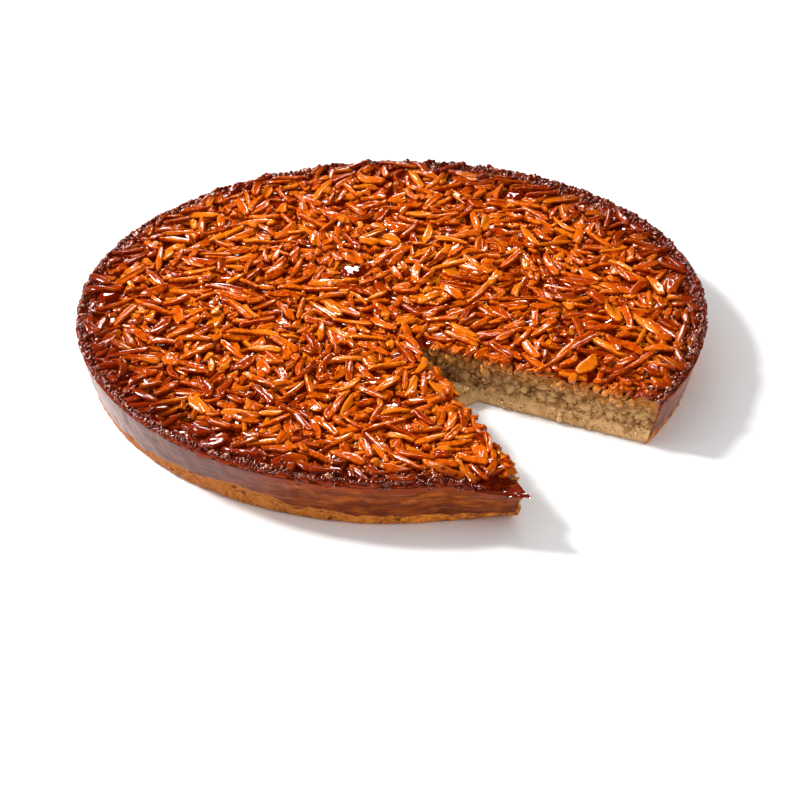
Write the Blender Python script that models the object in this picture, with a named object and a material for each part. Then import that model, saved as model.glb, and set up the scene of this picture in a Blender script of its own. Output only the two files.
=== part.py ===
"""An almond tart with one slice taken out.

Three solids lie on each other: a shortcrust base, an almond filling, and a topping of
slivered almonds fused to the caramel that holds them. All three follow one uneven
round with a wedge missing, so the same functions outline every layer.

Metres, +Z up. The origin is the middle of the round's underside. The missing wedge
opens towards -Y, and its apex lies short of the middle.
"""

import math
import random

import bmesh
import bpy
from mathutils import Matrix, Vector, geometry, noise

MM = 0.001

# The round: its size at the rim, and how it departs from a circle.
RIM_RADIUS = 139.0 * MM
FOOT_INSET = 5.5 * MM
RIM_HEIGHT = 22.0 * MM
OUTLINE_WAVES = (  # waves round the rim, height of each, direction of its first peak
    (1, 1.5 * MM, math.radians(157)),
    (2, 2.0 * MM, math.radians(-8)),
    (3, 1.0 * MM, math.radians(-3)),
)

# The layers, from the underside up.
CRUST_TOP = 7.5 * MM
FILLING_TOP = 18.2 * MM
CARAMEL_TOP = 22.6 * MM
LAYER_GAP = 0.3 * MM
CRUST_ROUNDING = 1.2 * MM
CARAMEL_SHOULDER = 1.2 * MM

# The missing wedge.
APEX = Vector((-14.5 * MM, -26.0 * MM))
NEAR_CUT = math.radians(249.2)
FAR_CUT = math.radians(292.4)
MOUTH = (NEAR_CUT + FAR_CUT) / 2
HALF_WEDGE = (FAR_CUT - NEAR_CUT) / 2

# The rim is drawn out to a point where the near cut meets it.
POINT_REACH = 21.0 * MM
POINT_SPAN = math.radians(11.5)
POINT_FLARE = 5  # the higher, the less of the wall below the topping it draws out
POINT_DIP = 2.4 * MM
POINT_ROOT = RIM_RADIUS + 3.0 * MM

# The slice's tip left its crust behind, so the crust fills the wedge this far.
LEDGE_NEAR = 26.0 * MM
LEDGE_FAR = 31.0 * MM

# How finely the outline is drawn, and how rough it is.
CUT_STEP = 4.5 * MM
WALL_STEP = 5.2 * MM
WALL_ROUGHNESS = 0.5 * MM
CUT_ROUGHNESS = 1.5 * MM
LUMP_SIZE = 6.0 * MM

# The caramel's rim stands a little proud of the field inside it.
LIP_RISE = 1.3 * MM
LIP_WIDTH = 8.0 * MM
LIP_STEEPNESS = 1.6
LIP_STEP = 15.0 * MM
FIELD_STEP = 24.0 * MM
FIELD_RELIEF = 0.8 * MM

# Slivered almonds: length, width, thickness above the caramel and how many are tried.
SLIVER_SIZES = (
    (19.0 * MM, 6.2 * MM, 2.7 * MM, 1500),
    (16.5 * MM, 4.8 * MM, 2.9 * MM, 9000),
    (12.5 * MM, 4.0 * MM, 2.6 * MM, 12000),
)
SLIVER_LIMIT = 360
SLIVER_ROOT = 1.4 * MM
SLIVER_CROWN = 0.72  # the top's size as a share of the foot's
SLIVER_TILT = math.radians(4)
SLIVER_SPACING = 0.1 * MM
OVERHANG = 1.6 * MM  # how far a tip may reach past the rim or a cut
DRIFT_SIZE = 40.0 * MM  # neighbours lie roughly one way over this distance
SLIVER_DISORDER = math.radians(22)
CELL = 1.0 * MM  # the grid that keeps slivers apart
SEED = 7


def remove_everything():
    for obj in list(bpy.data.objects):
        bpy.data.objects.remove(obj, do_unlink=True)


def food_material(name, colour, roughness):
    material = bpy.data.materials.new(name)
    material.use_nodes = True
    shader = material.node_tree.nodes["Principled BSDF"]
    shader.inputs["Base Color"].default_value = (*colour, 1.0)
    shader.inputs["Roughness"].default_value = roughness
    shader.inputs["Metallic"].default_value = 0.0
    return material


# ---------------------------------------------------------------- outline


def heading(angle):
    return Vector((math.cos(angle), math.sin(angle)))


def wall_radius(angle, height):
    """From the middle of the round to its wall, in one direction and at one height."""
    waves = sum(
        size * math.cos(count * (angle - peak)) for count, size, peak in OUTLINE_WAVES
    )
    rise = height / RIM_HEIGHT
    point = max(0.0, 1.0 - abs(NEAR_CUT - angle % math.tau) / POINT_SPAN)
    return (
        RIM_RADIUS
        + waves
        - FOOT_INSET * (1.0 - rise)
        + POINT_REACH * point**2 * rise**POINT_FLARE
    )


def corner_angle(cut, height):
    """The direction of the corner where a cut meets the wall."""
    along = heading(cut)
    angle = cut
    for _ in range(12):
        reach = wall_radius(angle, height)
        ahead = APEX.dot(along)
        run = -ahead + math.sqrt(ahead**2 - APEX.length_squared + reach**2)
        corner = APEX + along * run
        angle = math.atan2(corner.y, corner.x)
    return angle


def cut_face(corner, outward, ledge):
    """Points from the apex to a cut's corner. The ledge fills in the ones near the apex."""
    mouth = heading(MOUTH)
    count = round((RIM_RADIUS - APEX.length) / CUT_STEP)
    face = []
    for i in range(count):
        point = APEX.lerp(corner, i / count)
        short = ledge - (point - APEX).length
        if short > 0.0:
            filled = point + mouth * (short * math.cos(HALF_WEDGE))
            face.append((filled, mouth, CUT_ROUGHNESS))
        else:
            face.append((point, outward, CUT_ROUGHNESS))
    return face


def outline(height, ledge=0.0):
    """The layer's edge at one height, anticlockwise, as (point, outward, roughness).

    `ledge` is the share of the full ledge that this height has.
    """
    far_angle = corner_angle(FAR_CUT, height)
    near_angle = corner_angle(NEAR_CUT, height) % math.tau
    turn = near_angle - far_angle
    count = round(RIM_RADIUS * turn / WALL_STEP)
    edge = []
    for i in range(count):
        angle = far_angle + turn * i / count
        out = heading(angle)
        edge.append((out * wall_radius(angle, height), out, WALL_ROUGHNESS))
    near_corner = heading(near_angle) * wall_radius(near_angle, height)
    far_corner = heading(far_angle) * wall_radius(far_angle, height)
    near_out = heading(NEAR_CUT + math.pi / 2)
    far_out = heading(FAR_CUT - math.pi / 2)
    near_face = cut_face(near_corner, near_out, ledge * LEDGE_NEAR)
    far_face = cut_face(far_corner, far_out, ledge * LEDGE_FAR)
    edge.append((near_corner, near_out, CUT_ROUGHNESS))
    return edge + near_face[:0:-1] + far_face


def ring(height, inset=0.0, ledge=0.0):
    """The outline at one height as points, drawn in by `inset` and roughened."""
    points = []
    for flat, out, roughness in outline(height, ledge):
        here = flat.to_3d() + Vector((0.0, 0.0, height))
        lump = roughness * noise.noise(here / LUMP_SIZE)
        spot = flat + out * (lump - inset)
        points.append(Vector((spot.x, spot.y, height)))
    return points


# ----------------------------------------------------------------- solids


def join_rings(body, rings):
    """Walls between rings of equal length. Returns the rings' vertices."""
    loops = [[body.verts.new(point) for point in points] for points in rings]
    for lower, upper in zip(loops, loops[1:]):
        for i in range(len(lower)):
            body.faces.new((lower[i - 1], lower[i], upper[i], upper[i - 1]))
    return loops


def finish_solid(name, body, material):
    """A named object from the body, in triangles that face outwards."""
    body.normal_update()
    bmesh.ops.triangulate(body, faces=body.faces)
    bmesh.ops.recalc_face_normals(body, faces=body.faces)
    mesh = bpy.data.meshes.new(name)
    body.to_mesh(mesh)
    body.free()
    mesh.materials.append(material)
    mesh.shade_smooth()
    mesh.set_sharp_from_angle(angle=math.radians(35))
    solid = bpy.data.objects.new(name, mesh)
    bpy.context.scene.collection.objects.link(solid)
    return solid


def make_slab(name, rings, material):
    """A closed solid through a stack of rings, with flat ends."""
    body = bmesh.new()
    loops = join_rings(body, rings)
    body.faces.new(loops[0][::-1])
    body.faces.new(loops[-1])
    return finish_solid(name, body, material)


def make_crust():
    rings = [
        ring(0.0, inset=CRUST_ROUNDING, ledge=1.0),
        ring(CRUST_ROUNDING, ledge=1.0),
        ring(CRUST_TOP * 0.6, ledge=0.97),
        ring(CRUST_TOP, ledge=0.85),
    ]
    material = food_material("crust", (0.55, 0.29, 0.09), 0.7)
    return make_slab("crust_base", rings, material)


def make_filling():
    foot = CRUST_TOP + LAYER_GAP
    rise = FILLING_TOP - foot
    rings = [ring(foot + rise * share) for share in (0.0, 0.35, 0.7, 1.0)]
    material = food_material("almond_paste", (0.50, 0.34, 0.16), 0.75)
    return make_slab("almond_filling", rings, material)


# ---------------------------------------------------------------- topping


def wall_distance(point):
    """How far inside the rim a point lies; negative outside."""
    angle = math.atan2(point.y, point.x)
    return wall_radius(angle, CARAMEL_TOP) - point.length


def edge_distance(point):
    """How far inside the rim and the two cuts a point lies; negative outside."""
    offset = point - APEX
    from_near = offset.dot(heading(NEAR_CUT - math.pi / 2))
    from_far = offset.dot(heading(FAR_CUT + math.pi / 2))
    return min(wall_distance(point), max(from_near, from_far))


def caramel_height(point):
    """The caramel between the almonds: an uneven field inside a raised rim."""
    nearness = 1.0 - wall_distance(point) / LIP_WIDTH
    lip = LIP_RISE * min(1.0, max(0.0, nearness * LIP_STEEPNESS))
    wave = FIELD_RELIEF * noise.noise(point.to_3d() / FIELD_STEP)
    return CARAMEL_TOP + lip + wave


def dipped(points):
    """The same ring, lowered where the rim is drawn out to its point."""
    lowered = []
    for point in points:
        beyond = point.xy.length - POINT_ROOT
        share = min(1.0, max(0.0, beyond / POINT_REACH))
        lowered.append(point - Vector((0.0, 0.0, POINT_DIP * share)))
    return lowered


def field_points(border):
    """Points inside the border for the caramel's top: one row along the lip, then a grid."""
    inner = []
    count = round(math.tau * RIM_RADIUS / LIP_STEP)
    for i in range(count):
        angle = math.tau * i / count
        inner.append(heading(angle) * (wall_radius(angle, CARAMEL_TOP) - LIP_WIDTH))
    rows = math.ceil(RIM_RADIUS / FIELD_STEP)
    for row in range(-rows, rows + 1):
        for column in range(-rows, rows + 1):
            spot = Vector((column + 0.5 * (row % 2), row * 0.87)) * FIELD_STEP
            if wall_distance(spot) > LIP_WIDTH + 0.5 * LIP_STEP:
                inner.append(spot)
    clear = 0.4 * LIP_WIDTH
    nearest = [min((p - point.xy).length for point in border) for p in inner]
    return [
        p for p, gap in zip(inner, nearest) if gap > clear and edge_distance(p) > clear
    ]


def make_caramel(material):
    """The slab that the almonds are set in."""
    foot = FILLING_TOP + LAYER_GAP
    brow = ring(CARAMEL_TOP, inset=CARAMEL_SHOULDER)
    border = dipped([Vector((p.x, p.y, caramel_height(p.xy))) for p in brow])
    middle = dipped(ring((foot + CARAMEL_TOP) / 2))
    body = bmesh.new()
    loops = join_rings(body, [ring(foot), middle, border])
    body.faces.new(loops[0][::-1])

    inner = field_points(border)
    flat = [p.xy for p in border] + inner
    rim_edges = [(i, (i + 1) % len(border)) for i in range(len(border))]
    made = geometry.delaunay_2d_cdt(flat, rim_edges, [], 1, 1e-7)
    inside = [body.verts.new((p.x, p.y, caramel_height(p))) for p in inner]
    top = loops[-1] + inside
    for face in made[2]:
        body.faces.new([top[made[3][corner][0]] for corner in face])
    return finish_solid("almond_topping", body, material)


def sliver_plan(length, width, lean):
    """The four corners of a sliver of almond seen from above."""
    corners = ((-0.50, -0.30), (0.40, -0.50), (0.50, 0.28), (-0.36, 0.50))
    return [Vector((x * length, (y + lean * x) * width)) for x, y in corners]


def covered_cells(plan, turn, centre):
    """The cells of a fine grid that a sliver, with its spacing, lies over."""
    along = heading(turn)
    across = Vector((-along.y, along.x))
    half_length = max(p.x for p in plan) + SLIVER_SPACING
    half_width = max(p.y for p in plan) + SLIVER_SPACING
    cells = set()
    steps_long = math.ceil(half_length / (0.7 * CELL))
    steps_wide = math.ceil(half_width / (0.7 * CELL))
    for i in range(-steps_long, steps_long + 1):
        narrowing = 1.0 - 0.6 * (abs(i) / steps_long) ** 3
        for j in range(-steps_wide, steps_wide + 1):
            spot = (
                centre
                + along * (half_length * i / steps_long)
                + across * (half_width * narrowing * j / steps_wide)
            )
            cells.add((math.floor(spot.x / CELL), math.floor(spot.y / CELL)))
    return cells


def lay_slivers():
    """Where each sliver goes, the largest first: (plan, thickness, turn, centre)."""
    draw = random.Random(SEED)
    taken = set()
    laid = []
    for length, width, thickness, tries in SLIVER_SIZES:
        for _ in range(tries):
            if len(laid) == SLIVER_LIMIT:
                return laid
            reach = RIM_RADIUS * math.sqrt(draw.random())
            centre = heading(draw.uniform(0.0, math.tau)) * reach
            drift = noise.noise(centre.to_3d() / DRIFT_SIZE)
            turn = math.tau * drift + draw.gauss(0.0, SLIVER_DISORDER)
            size = draw.uniform(0.85, 1.12)
            plan = sliver_plan(length * size, width * size, draw.uniform(-0.25, 0.25))
            tip = heading(turn) * (0.5 * length * size)
            if min(map(edge_distance, (centre - tip, centre + tip))) < -OVERHANG:
                continue
            if edge_distance(centre) < 0.5 * width:
                continue
            cells = covered_cells(plan, turn, centre)
            if cells & taken:
                continue
            taken |= cells
            laid.append((plan, thickness * draw.uniform(0.8, 1.2), turn, centre))
    return laid


def add_sliver(collection, index, plan, thickness, turn, centre, tilt):
    """One sliver as a low bar with sloping sides, rooted in the caramel."""
    body = bmesh.new()
    foot = [Vector((p.x, p.y, -SLIVER_ROOT)) for p in plan]
    crown = [(p * SLIVER_CROWN).to_3d() + Vector((0.0, 0.0, thickness)) for p in plan]
    loops = join_rings(body, [foot, crown])
    body.faces.new(loops[0][::-1])
    body.faces.new(loops[-1])
    lift = Matrix.Translation((centre.x, centre.y, caramel_height(centre)))
    place = lift @ Matrix.Rotation(turn, 4, "Z") @ Matrix.Rotation(tilt, 4, "Y")
    bmesh.ops.transform(body, matrix=place, verts=body.verts)
    mesh = bpy.data.meshes.new(f"sliver_{index}")
    body.to_mesh(mesh)
    body.free()
    collection.objects.link(bpy.data.objects.new(mesh.name, mesh))


def make_topping():
    """The caramel and its slivers, made one solid."""
    material = food_material("caramelised_almond", (0.62, 0.17, 0.015), 0.2)
    topping = make_caramel(material)
    slivers = bpy.data.collections.new("slivers")
    bpy.context.scene.collection.children.link(slivers)
    draw = random.Random(SEED + 1)
    for index, (plan, thickness, turn, centre) in enumerate(lay_slivers()):
        tilt = draw.uniform(-SLIVER_TILT, SLIVER_TILT)
        add_sliver(slivers, index, plan, thickness, turn, centre, tilt)

    union = topping.modifiers.new("join_slivers", "BOOLEAN")
    union.operation = "UNION"
    union.operand_type = "COLLECTION"
    union.collection = slivers
    union.solver = "MANIFOLD"
    graph = bpy.context.evaluated_depsgraph_get()
    joined = bpy.data.meshes.new_from_object(topping.evaluated_get(graph))
    topping.modifiers.clear()
    topping.data = joined
    for obj in list(slivers.objects):
        bpy.data.objects.remove(obj, do_unlink=True)
    bpy.data.collections.remove(slivers)
    return topping


def main():
    remove_everything()
    make_crust()
    make_filling()
    make_topping()


main()
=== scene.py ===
"""The finish of an almond tart with one slice taken out.

Slivered almonds lie in amber caramel over a crumbly almond filling and a shortcrust
base. The solids come from the frame; the shapes here stand for them at the same places.
"""

import math

import bmesh
import bpy
import numpy as np
from bpy.props import FloatProperty, FloatVectorProperty, IntProperty, PointerProperty
from bpy.types import Operator, Panel, PropertyGroup
from mathutils import Matrix, Vector, noise


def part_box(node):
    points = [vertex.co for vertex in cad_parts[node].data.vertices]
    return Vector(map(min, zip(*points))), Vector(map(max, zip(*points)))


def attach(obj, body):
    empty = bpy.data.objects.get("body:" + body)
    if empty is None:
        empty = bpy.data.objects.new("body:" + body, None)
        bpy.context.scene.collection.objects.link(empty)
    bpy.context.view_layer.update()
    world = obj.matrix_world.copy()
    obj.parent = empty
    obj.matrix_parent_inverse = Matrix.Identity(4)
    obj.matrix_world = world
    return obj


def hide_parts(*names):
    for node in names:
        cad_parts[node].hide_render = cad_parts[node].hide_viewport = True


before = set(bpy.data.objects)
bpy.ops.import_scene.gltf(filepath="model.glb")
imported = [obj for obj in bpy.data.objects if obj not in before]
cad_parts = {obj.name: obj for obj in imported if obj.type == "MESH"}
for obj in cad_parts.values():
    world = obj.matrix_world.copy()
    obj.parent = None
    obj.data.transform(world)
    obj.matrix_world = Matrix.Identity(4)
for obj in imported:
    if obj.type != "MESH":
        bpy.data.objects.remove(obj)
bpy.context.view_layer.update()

bl_info = {
    "name": "Almond tart",
    "version": (1, 0, 0),
    "blender": (4, 5, 0),
    "location": "View3D > Sidebar > Almond tart",
    "description": "Bakes a caramelised almond tart around its packed solids",
    "category": "Object",
}

MM = 0.001
TURN = math.tau

# ------------------------------------------------------------------ sizes

# The round and how it departs from a circle: waves, height of each, first peak.
RIM_RADIUS = 139.0 * MM
FOOT_INSET = 5.5 * MM
RIM_HEIGHT = 22.0 * MM
OUTLINE_WAVES = (
    (1, 1.5 * MM, math.radians(157)),
    (2, 2.0 * MM, math.radians(-8)),
    (3, 1.0 * MM, math.radians(-3)),
)

# The missing wedge, and the corner of the rim that is drawn out beside it.
APEX = np.array([-14.5 * MM, -26.0 * MM])
NEAR_CUT = math.radians(249.2)
FAR_CUT = math.radians(292.4)

# A point well behind the wedge, from which the whole outline can be seen.
HEART = APEX + np.array([0.0, 60.0 * MM])
MOUTH = (NEAR_CUT + FAR_CUT) / 2
HALF_WEDGE = (FAR_CUT - NEAR_CUT) / 2

# The side of the round whose rim is burnt widest, and the side that is darker all over.
HOT_SIDE = math.radians(2.0)
DARK_SIDE = math.radians(165.0)

# Where the dry crust reaches highest up the wall, and the side where the wall has painted shade on
# its crust and a painted grey-lilac reflection on its skin.
DRY_SIDE = math.radians(197.0)
PAINTED_LIGHT_SIDE = math.radians(178.0)

# The browned skin over the layers, and the corner that is drawn out beside the wedge.
SKIN = 0.5 * MM
POINT_REACH = 17.1 * MM
POINT_HEADING = math.radians(247.5)
POINT_SPAN = math.radians(12.0)
POINT_FLARE = 3.6
POINT_FOOT = 0.42
POINT_DIP = 3.8 * MM
POINT_ROOT = RIM_RADIUS + 3.0 * MM

# The layers, read from the frame.
CRUST_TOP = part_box("crust_base")[1][2]
FILLING_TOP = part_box("almond_filling")[1][2]
TOPPING_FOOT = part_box("almond_topping")[0][2]
TOPPING_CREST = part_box("almond_topping")[1][2]
CARAMEL_TOP = 22.6 * MM
LEDGE_NEAR = 26.0 * MM
LEDGE_FAR = 31.0 * MM

# Flat pools of caramel with no almond over them: place and radius.
POOLS = (
    ((5.9 * MM, 36.2 * MM), 6.0 * MM),
    ((110.7 * MM, 36.2 * MM), 5.0 * MM),
    ((-90.0 * MM, 93.0 * MM), 4.5 * MM),
)
POOL_LEVEL = TOPPING_CREST - 2.4 * MM


# --------------------------------------------------------------- settings


def size_setting(name, description, default):
    return FloatProperty(name=name, description=description, default=default, unit="LENGTH")


def angle_setting(name, description, degrees):
    given = {"default": math.radians(degrees), "subtype": "ANGLE"}
    return FloatProperty(name=name, description=description, **given)


def colour_setting(name, description, default):
    given = {"default": default, "subtype": "COLOR"}
    return FloatVectorProperty(name=name, description=description, **given)


def count_setting(name, description, default, least=0):
    return IntProperty(name=name, description=description, default=default, min=least)


class TartSlivers(PropertyGroup):
    """The almonds on top."""

    count: count_setting("Slivers", "How many slivers are laid", 4400, 100)
    bits: count_setting("Bits", "Broken bits between the slivers", 2600)
    length: size_setting("Length", "Length of an ordinary sliver", 14.5 * MM)
    width: size_setting("Width", "Width of an ordinary sliver", 3.7 * MM)
    thickness: size_setting("Thickness", "Thickness of an ordinary sliver", 2.3 * MM)
    pale: colour_setting("Pale", "Almond under thin caramel", (0.64, 0.115, 0.0025))
    deep: colour_setting("Deep", "Almond under thick caramel", (0.38, 0.031, 0.0007))
    bare: colour_setting("Bare", "Almond where a cut leaves it bare", (0.60, 0.25, 0.060))


class TartCaramel(PropertyGroup):
    """The caramel between and round the almonds."""

    depth: size_setting("Depth", "How far it lies below the almonds' crests", 1.8 * MM)
    rim_width: size_setting("Rim", "Width of the dark bubbled rim", 10.5 * MM)
    beads: count_setting("Beads", "Set bubbles along the rim", 6500)
    amber: colour_setting("Amber", "Caramel in the middle of the round", (0.18, 0.010, 0.0003))
    burnt: colour_setting("Burnt", "Caramel at the rim", (0.16, 0.010, 0.0010))


class TartBake(PropertyGroup):
    """Crust, filling and crumbs."""

    crust: colour_setting("Crust", "Browned outside of the crust", (0.86, 0.28, 0.036))
    crust_inside: colour_setting("Crust inside", "Crust where it is cut", (0.86, 0.55, 0.27))
    filling: colour_setting("Filling", "Crumbly almond filling", (0.74, 0.42, 0.17))
    lumps: size_setting("Lumps", "How far lumps stand out of a cut face", 1.5 * MM)
    crumbs: count_setting("Crumbs", "Loose crumbs in the wedge", 260)


class TartStudio(PropertyGroup):
    """Camera and light."""

    azimuth: angle_setting("Azimuth", "Where the camera stands round the tart", -43.2)
    elevation: angle_setting("Elevation", "Height of the camera above the horizon", 32.93)
    roll: angle_setting("Roll", "Turn about the line of sight", 0.33)
    distance: size_setting("Distance", "From the camera to what it looks at", 1.2)
    lens: FloatProperty(name="Lens", description="Focal length", default=123.4)


class TartSettings(PropertyGroup):
    """All the tart's settings."""

    slivers: PointerProperty(type=TartSlivers)
    caramel: PointerProperty(type=TartCaramel)
    bake: PointerProperty(type=TartBake)
    studio: PointerProperty(type=TartStudio)


def settings():
    return bpy.context.scene.almond_tart


# ---------------------------------------------------------------- outline


def heading(angle):
    """Unit vectors in the plane, one row for each angle."""
    return np.stack([np.cos(angle), np.sin(angle)], -1)


def around(radius, angle):
    """Places at those distances from the middle of the round."""
    return radius * np.cos(angle), radius * np.sin(angle)


def wall_radius(angle, height):
    """From the middle of the round to its wall."""
    radius = RIM_RADIUS - FOOT_INSET * (1.0 - height / RIM_HEIGHT)
    for count, size, peak in OUTLINE_WAVES:
        radius = radius + size * np.cos(count * (angle - peak))
    rise = np.clip(height / CARAMEL_TOP, 0.0, 1.0)
    foot = POINT_FOOT * np.clip(0.3 + height / (6 * MM), 0.0, 1.0)
    flare = foot + (1.0 - POINT_FOOT) * rise**POINT_FLARE
    return radius + POINT_REACH * flare * point_share(angle)


def point_share(angle):
    """1 at the drawn-out corner of the rim, falling to 0 on both sides of it."""
    return np.clip(1.0 - np.abs(POINT_HEADING - angle % TURN) / POINT_SPAN, 0.0, None)


def reach_from_apex(direction, height):
    """Distance from the wedge's apex to the wall along each direction."""
    along = heading(direction)
    ahead = along @ APEX
    angle = direction
    for _ in range(12):
        radius = wall_radius(angle, height)
        run = -ahead + np.sqrt(ahead**2 - APEX @ APEX + radius**2)
        corner = APEX + along * run[..., None]
        angle = np.arctan2(corner[..., 1], corner[..., 0])
    return run


def wall_span(far_height, near_height):
    """Where the wall starts and ends, as headings from the middle of the round."""
    ends = []
    for cut, height in ((FAR_CUT, far_height), (NEAR_CUT, near_height)):
        corner = APEX + heading(cut) * reach_from_apex(np.array([cut]), height)
        ends.append(math.atan2(corner[1], corner[0]))
    return ends[0], ends[1] % TURN


def wall_distance(x, y):
    """How far inside the rim points lie."""
    return wall_radius(np.arctan2(y, x), CARAMEL_TOP) - np.hypot(x, y)


def cut_distance(x, y):
    """How far points lie from the wedge, negative inside it."""
    near = heading(NEAR_CUT - math.pi / 2)
    far = heading(FAR_CUT + math.pi / 2)
    from_near = (x - APEX[0]) * near[0] + (y - APEX[1]) * near[1]
    from_far = (x - APEX[0]) * far[0] + (y - APEX[1]) * far[1]
    return np.maximum(from_near, from_far)


def edge_distance(x, y):
    return np.minimum(wall_distance(x, y), cut_distance(x, y))


def over_plan(relief, x, y, *sizes):
    """A relief that is read over a grid of places, all at height 0."""
    flat = np.column_stack([np.ravel(x), np.ravel(y), np.zeros(np.size(x))])
    return relief(flat, *sizes).reshape(np.shape(x))


def rim_share(x, y, reach=1.0):
    """1 at the wall, falling to 0 where the dark rim ends; it is widest on the hot side."""
    hot = np.clip(np.cos(np.arctan2(y, x) - HOT_SIDE), 0.0, None) ** 3
    uneven = over_plan(wander, x, y, 17 * MM, 2)
    width = settings().caramel.rim_width * np.clip(0.85 + 0.85 * hot + 0.35 * uneven, 0.45, None)
    return np.clip(1.0 - wall_distance(x, y) / (reach * width), 0.0, 1.0)


def pool_share(x, y):
    """1 over the pools, falling to 0 at their uneven edges."""
    share = np.zeros(np.shape(x))
    for (middle_x, middle_y), size in POOLS:
        bearing = np.arctan2(y - middle_y, x - middle_x)
        reach = size * (1.0 + 0.25 * np.cos(3.0 * bearing + 1.0) + 0.12 * np.cos(5.0 * bearing))
        away = np.hypot(x - middle_x, y - middle_y) / reach
        share = np.maximum(share, np.clip((1.0 - away) / 0.3, 0.0, 1.0))
    return share


def wander(points, size, octaves=1):
    """Smooth noise between about -1 and 1 at each point, with lumps of that size."""
    value = np.zeros(len(points))
    strength = 1.0
    for _ in range(octaves):
        scaled = np.asarray(points) / size
        value += strength * np.array([noise.noise(row) for row in scaled])
        strength *= 0.5
        size *= 0.5
    return value


def clods(points, size):
    """Rounded clods: 1 on top of each, falling to 0 in the gaps between them."""
    scaled = np.asarray(points) / size
    near = np.array([noise.voronoi(row)[0][:2] for row in scaled])
    gap = near[:, 1] - near[:, 0]
    return np.clip(gap * 2.2, 0.0, 1.0) ** 0.5


def wall_relief(points):
    """The low waves of the baked wall, running through all the layers."""
    return 0.4 * MM * wander(points, 9 * MM, 2)


def cut_relief(points):
    """Clods and pits of a cut face, low in the crust and high in the filling above it."""
    lumps = settings().bake.lumps * np.clip(0.35 + (points[:, 2] - 4 * MM) / (6 * MM), 0.35, 1.0)
    relief = 0.9 * clods(points, 5.2 * MM) - 0.75 + 0.4 * (clods(points, 2.4 * MM) - 0.6)
    return lumps * (relief + 0.5 * wander(points, 6 * MM, 3))


def above_crust(points):
    """How far points of the wall lie above the ragged line where the dry crust ends."""
    angle = np.arctan2(points[:, 1], points[:, 0])
    line = 5.0 * MM + 5.2 * MM * np.clip(np.cos(3.0 * (angle - DRY_SIDE)), 0.0, None) ** 4
    return points[:, 2] - line - 2.2 * MM * wander(points * (1.0, 1.0, 0.3), 15 * MM, 4)


def side_relief(points):
    """Low waves and faint streaks, and crumbs and cracks where the crust is dry."""
    dry = np.clip(0.5 - above_crust(points) / (1.6 * MM), 0.0, 1.0)
    ribs = 0.12 * MM * wander(points * (0.5, 0.5, 1.0), 2.4 * MM)
    crumb = 0.75 * MM * (clods(points * (1.0, 1.0, 1.4), 3.1 * MM) - 0.85)
    return wall_relief(points) + ribs + dry * crumb


# ----------------------------------------------------------------- meshes


def mesh_object(name, vertices, faces, material):
    """A smooth object from arrays, its place in its mesh."""
    mesh = bpy.data.meshes.new(name)
    mesh.from_pydata(np.asarray(vertices).tolist(), [], faces)
    mesh.materials.append(material)
    mesh.shade_smooth()
    piece = bpy.data.objects.new(name, mesh)
    bpy.context.scene.collection.objects.link(piece)
    return piece


def dress(piece, slot, *replaced):
    """Hands a finished piece to the frame."""
    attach(piece, "root")
    if replaced:
        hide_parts(*replaced)


ATTRIBUTE_FORMS = {
    "FLOAT": ("value", np.float32),
    "FLOAT_VECTOR": ("vector", np.float32),
    "INT": ("value", np.int32),
}


def set_attribute(mesh, name, values, kind="FLOAT"):
    field, number = ATTRIBUTE_FORMS[kind]
    layer = mesh.attributes.new(name, kind, "POINT")
    layer.data.foreach_set(field, np.asarray(values, dtype=number).ravel())


def vertex_array(mesh):
    flat = np.empty(len(mesh.vertices) * 3)
    mesh.vertices.foreach_get("co", flat)
    return flat.reshape(-1, 3)


def grid_faces(rows, columns, first=0, ring=False, loop=False, flipped=False):
    """Quads between rows of vertices.

    `ring` joins the two ends of each row, and `loop` joins the last row to the first."""
    faces = []
    for row in range(rows if loop else rows - 1):
        base, above = first + row * columns, first + (row + 1) % rows * columns
        for i in range(columns if ring else columns - 1):
            j = (i + 1) % columns
            quad = (base + i, base + j, above + j, above + i)
            faces.append((quad[0], *quad[:0:-1]) if flipped else quad)
    return faces


# ----------------------------------------------------- layers with a wedge


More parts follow.
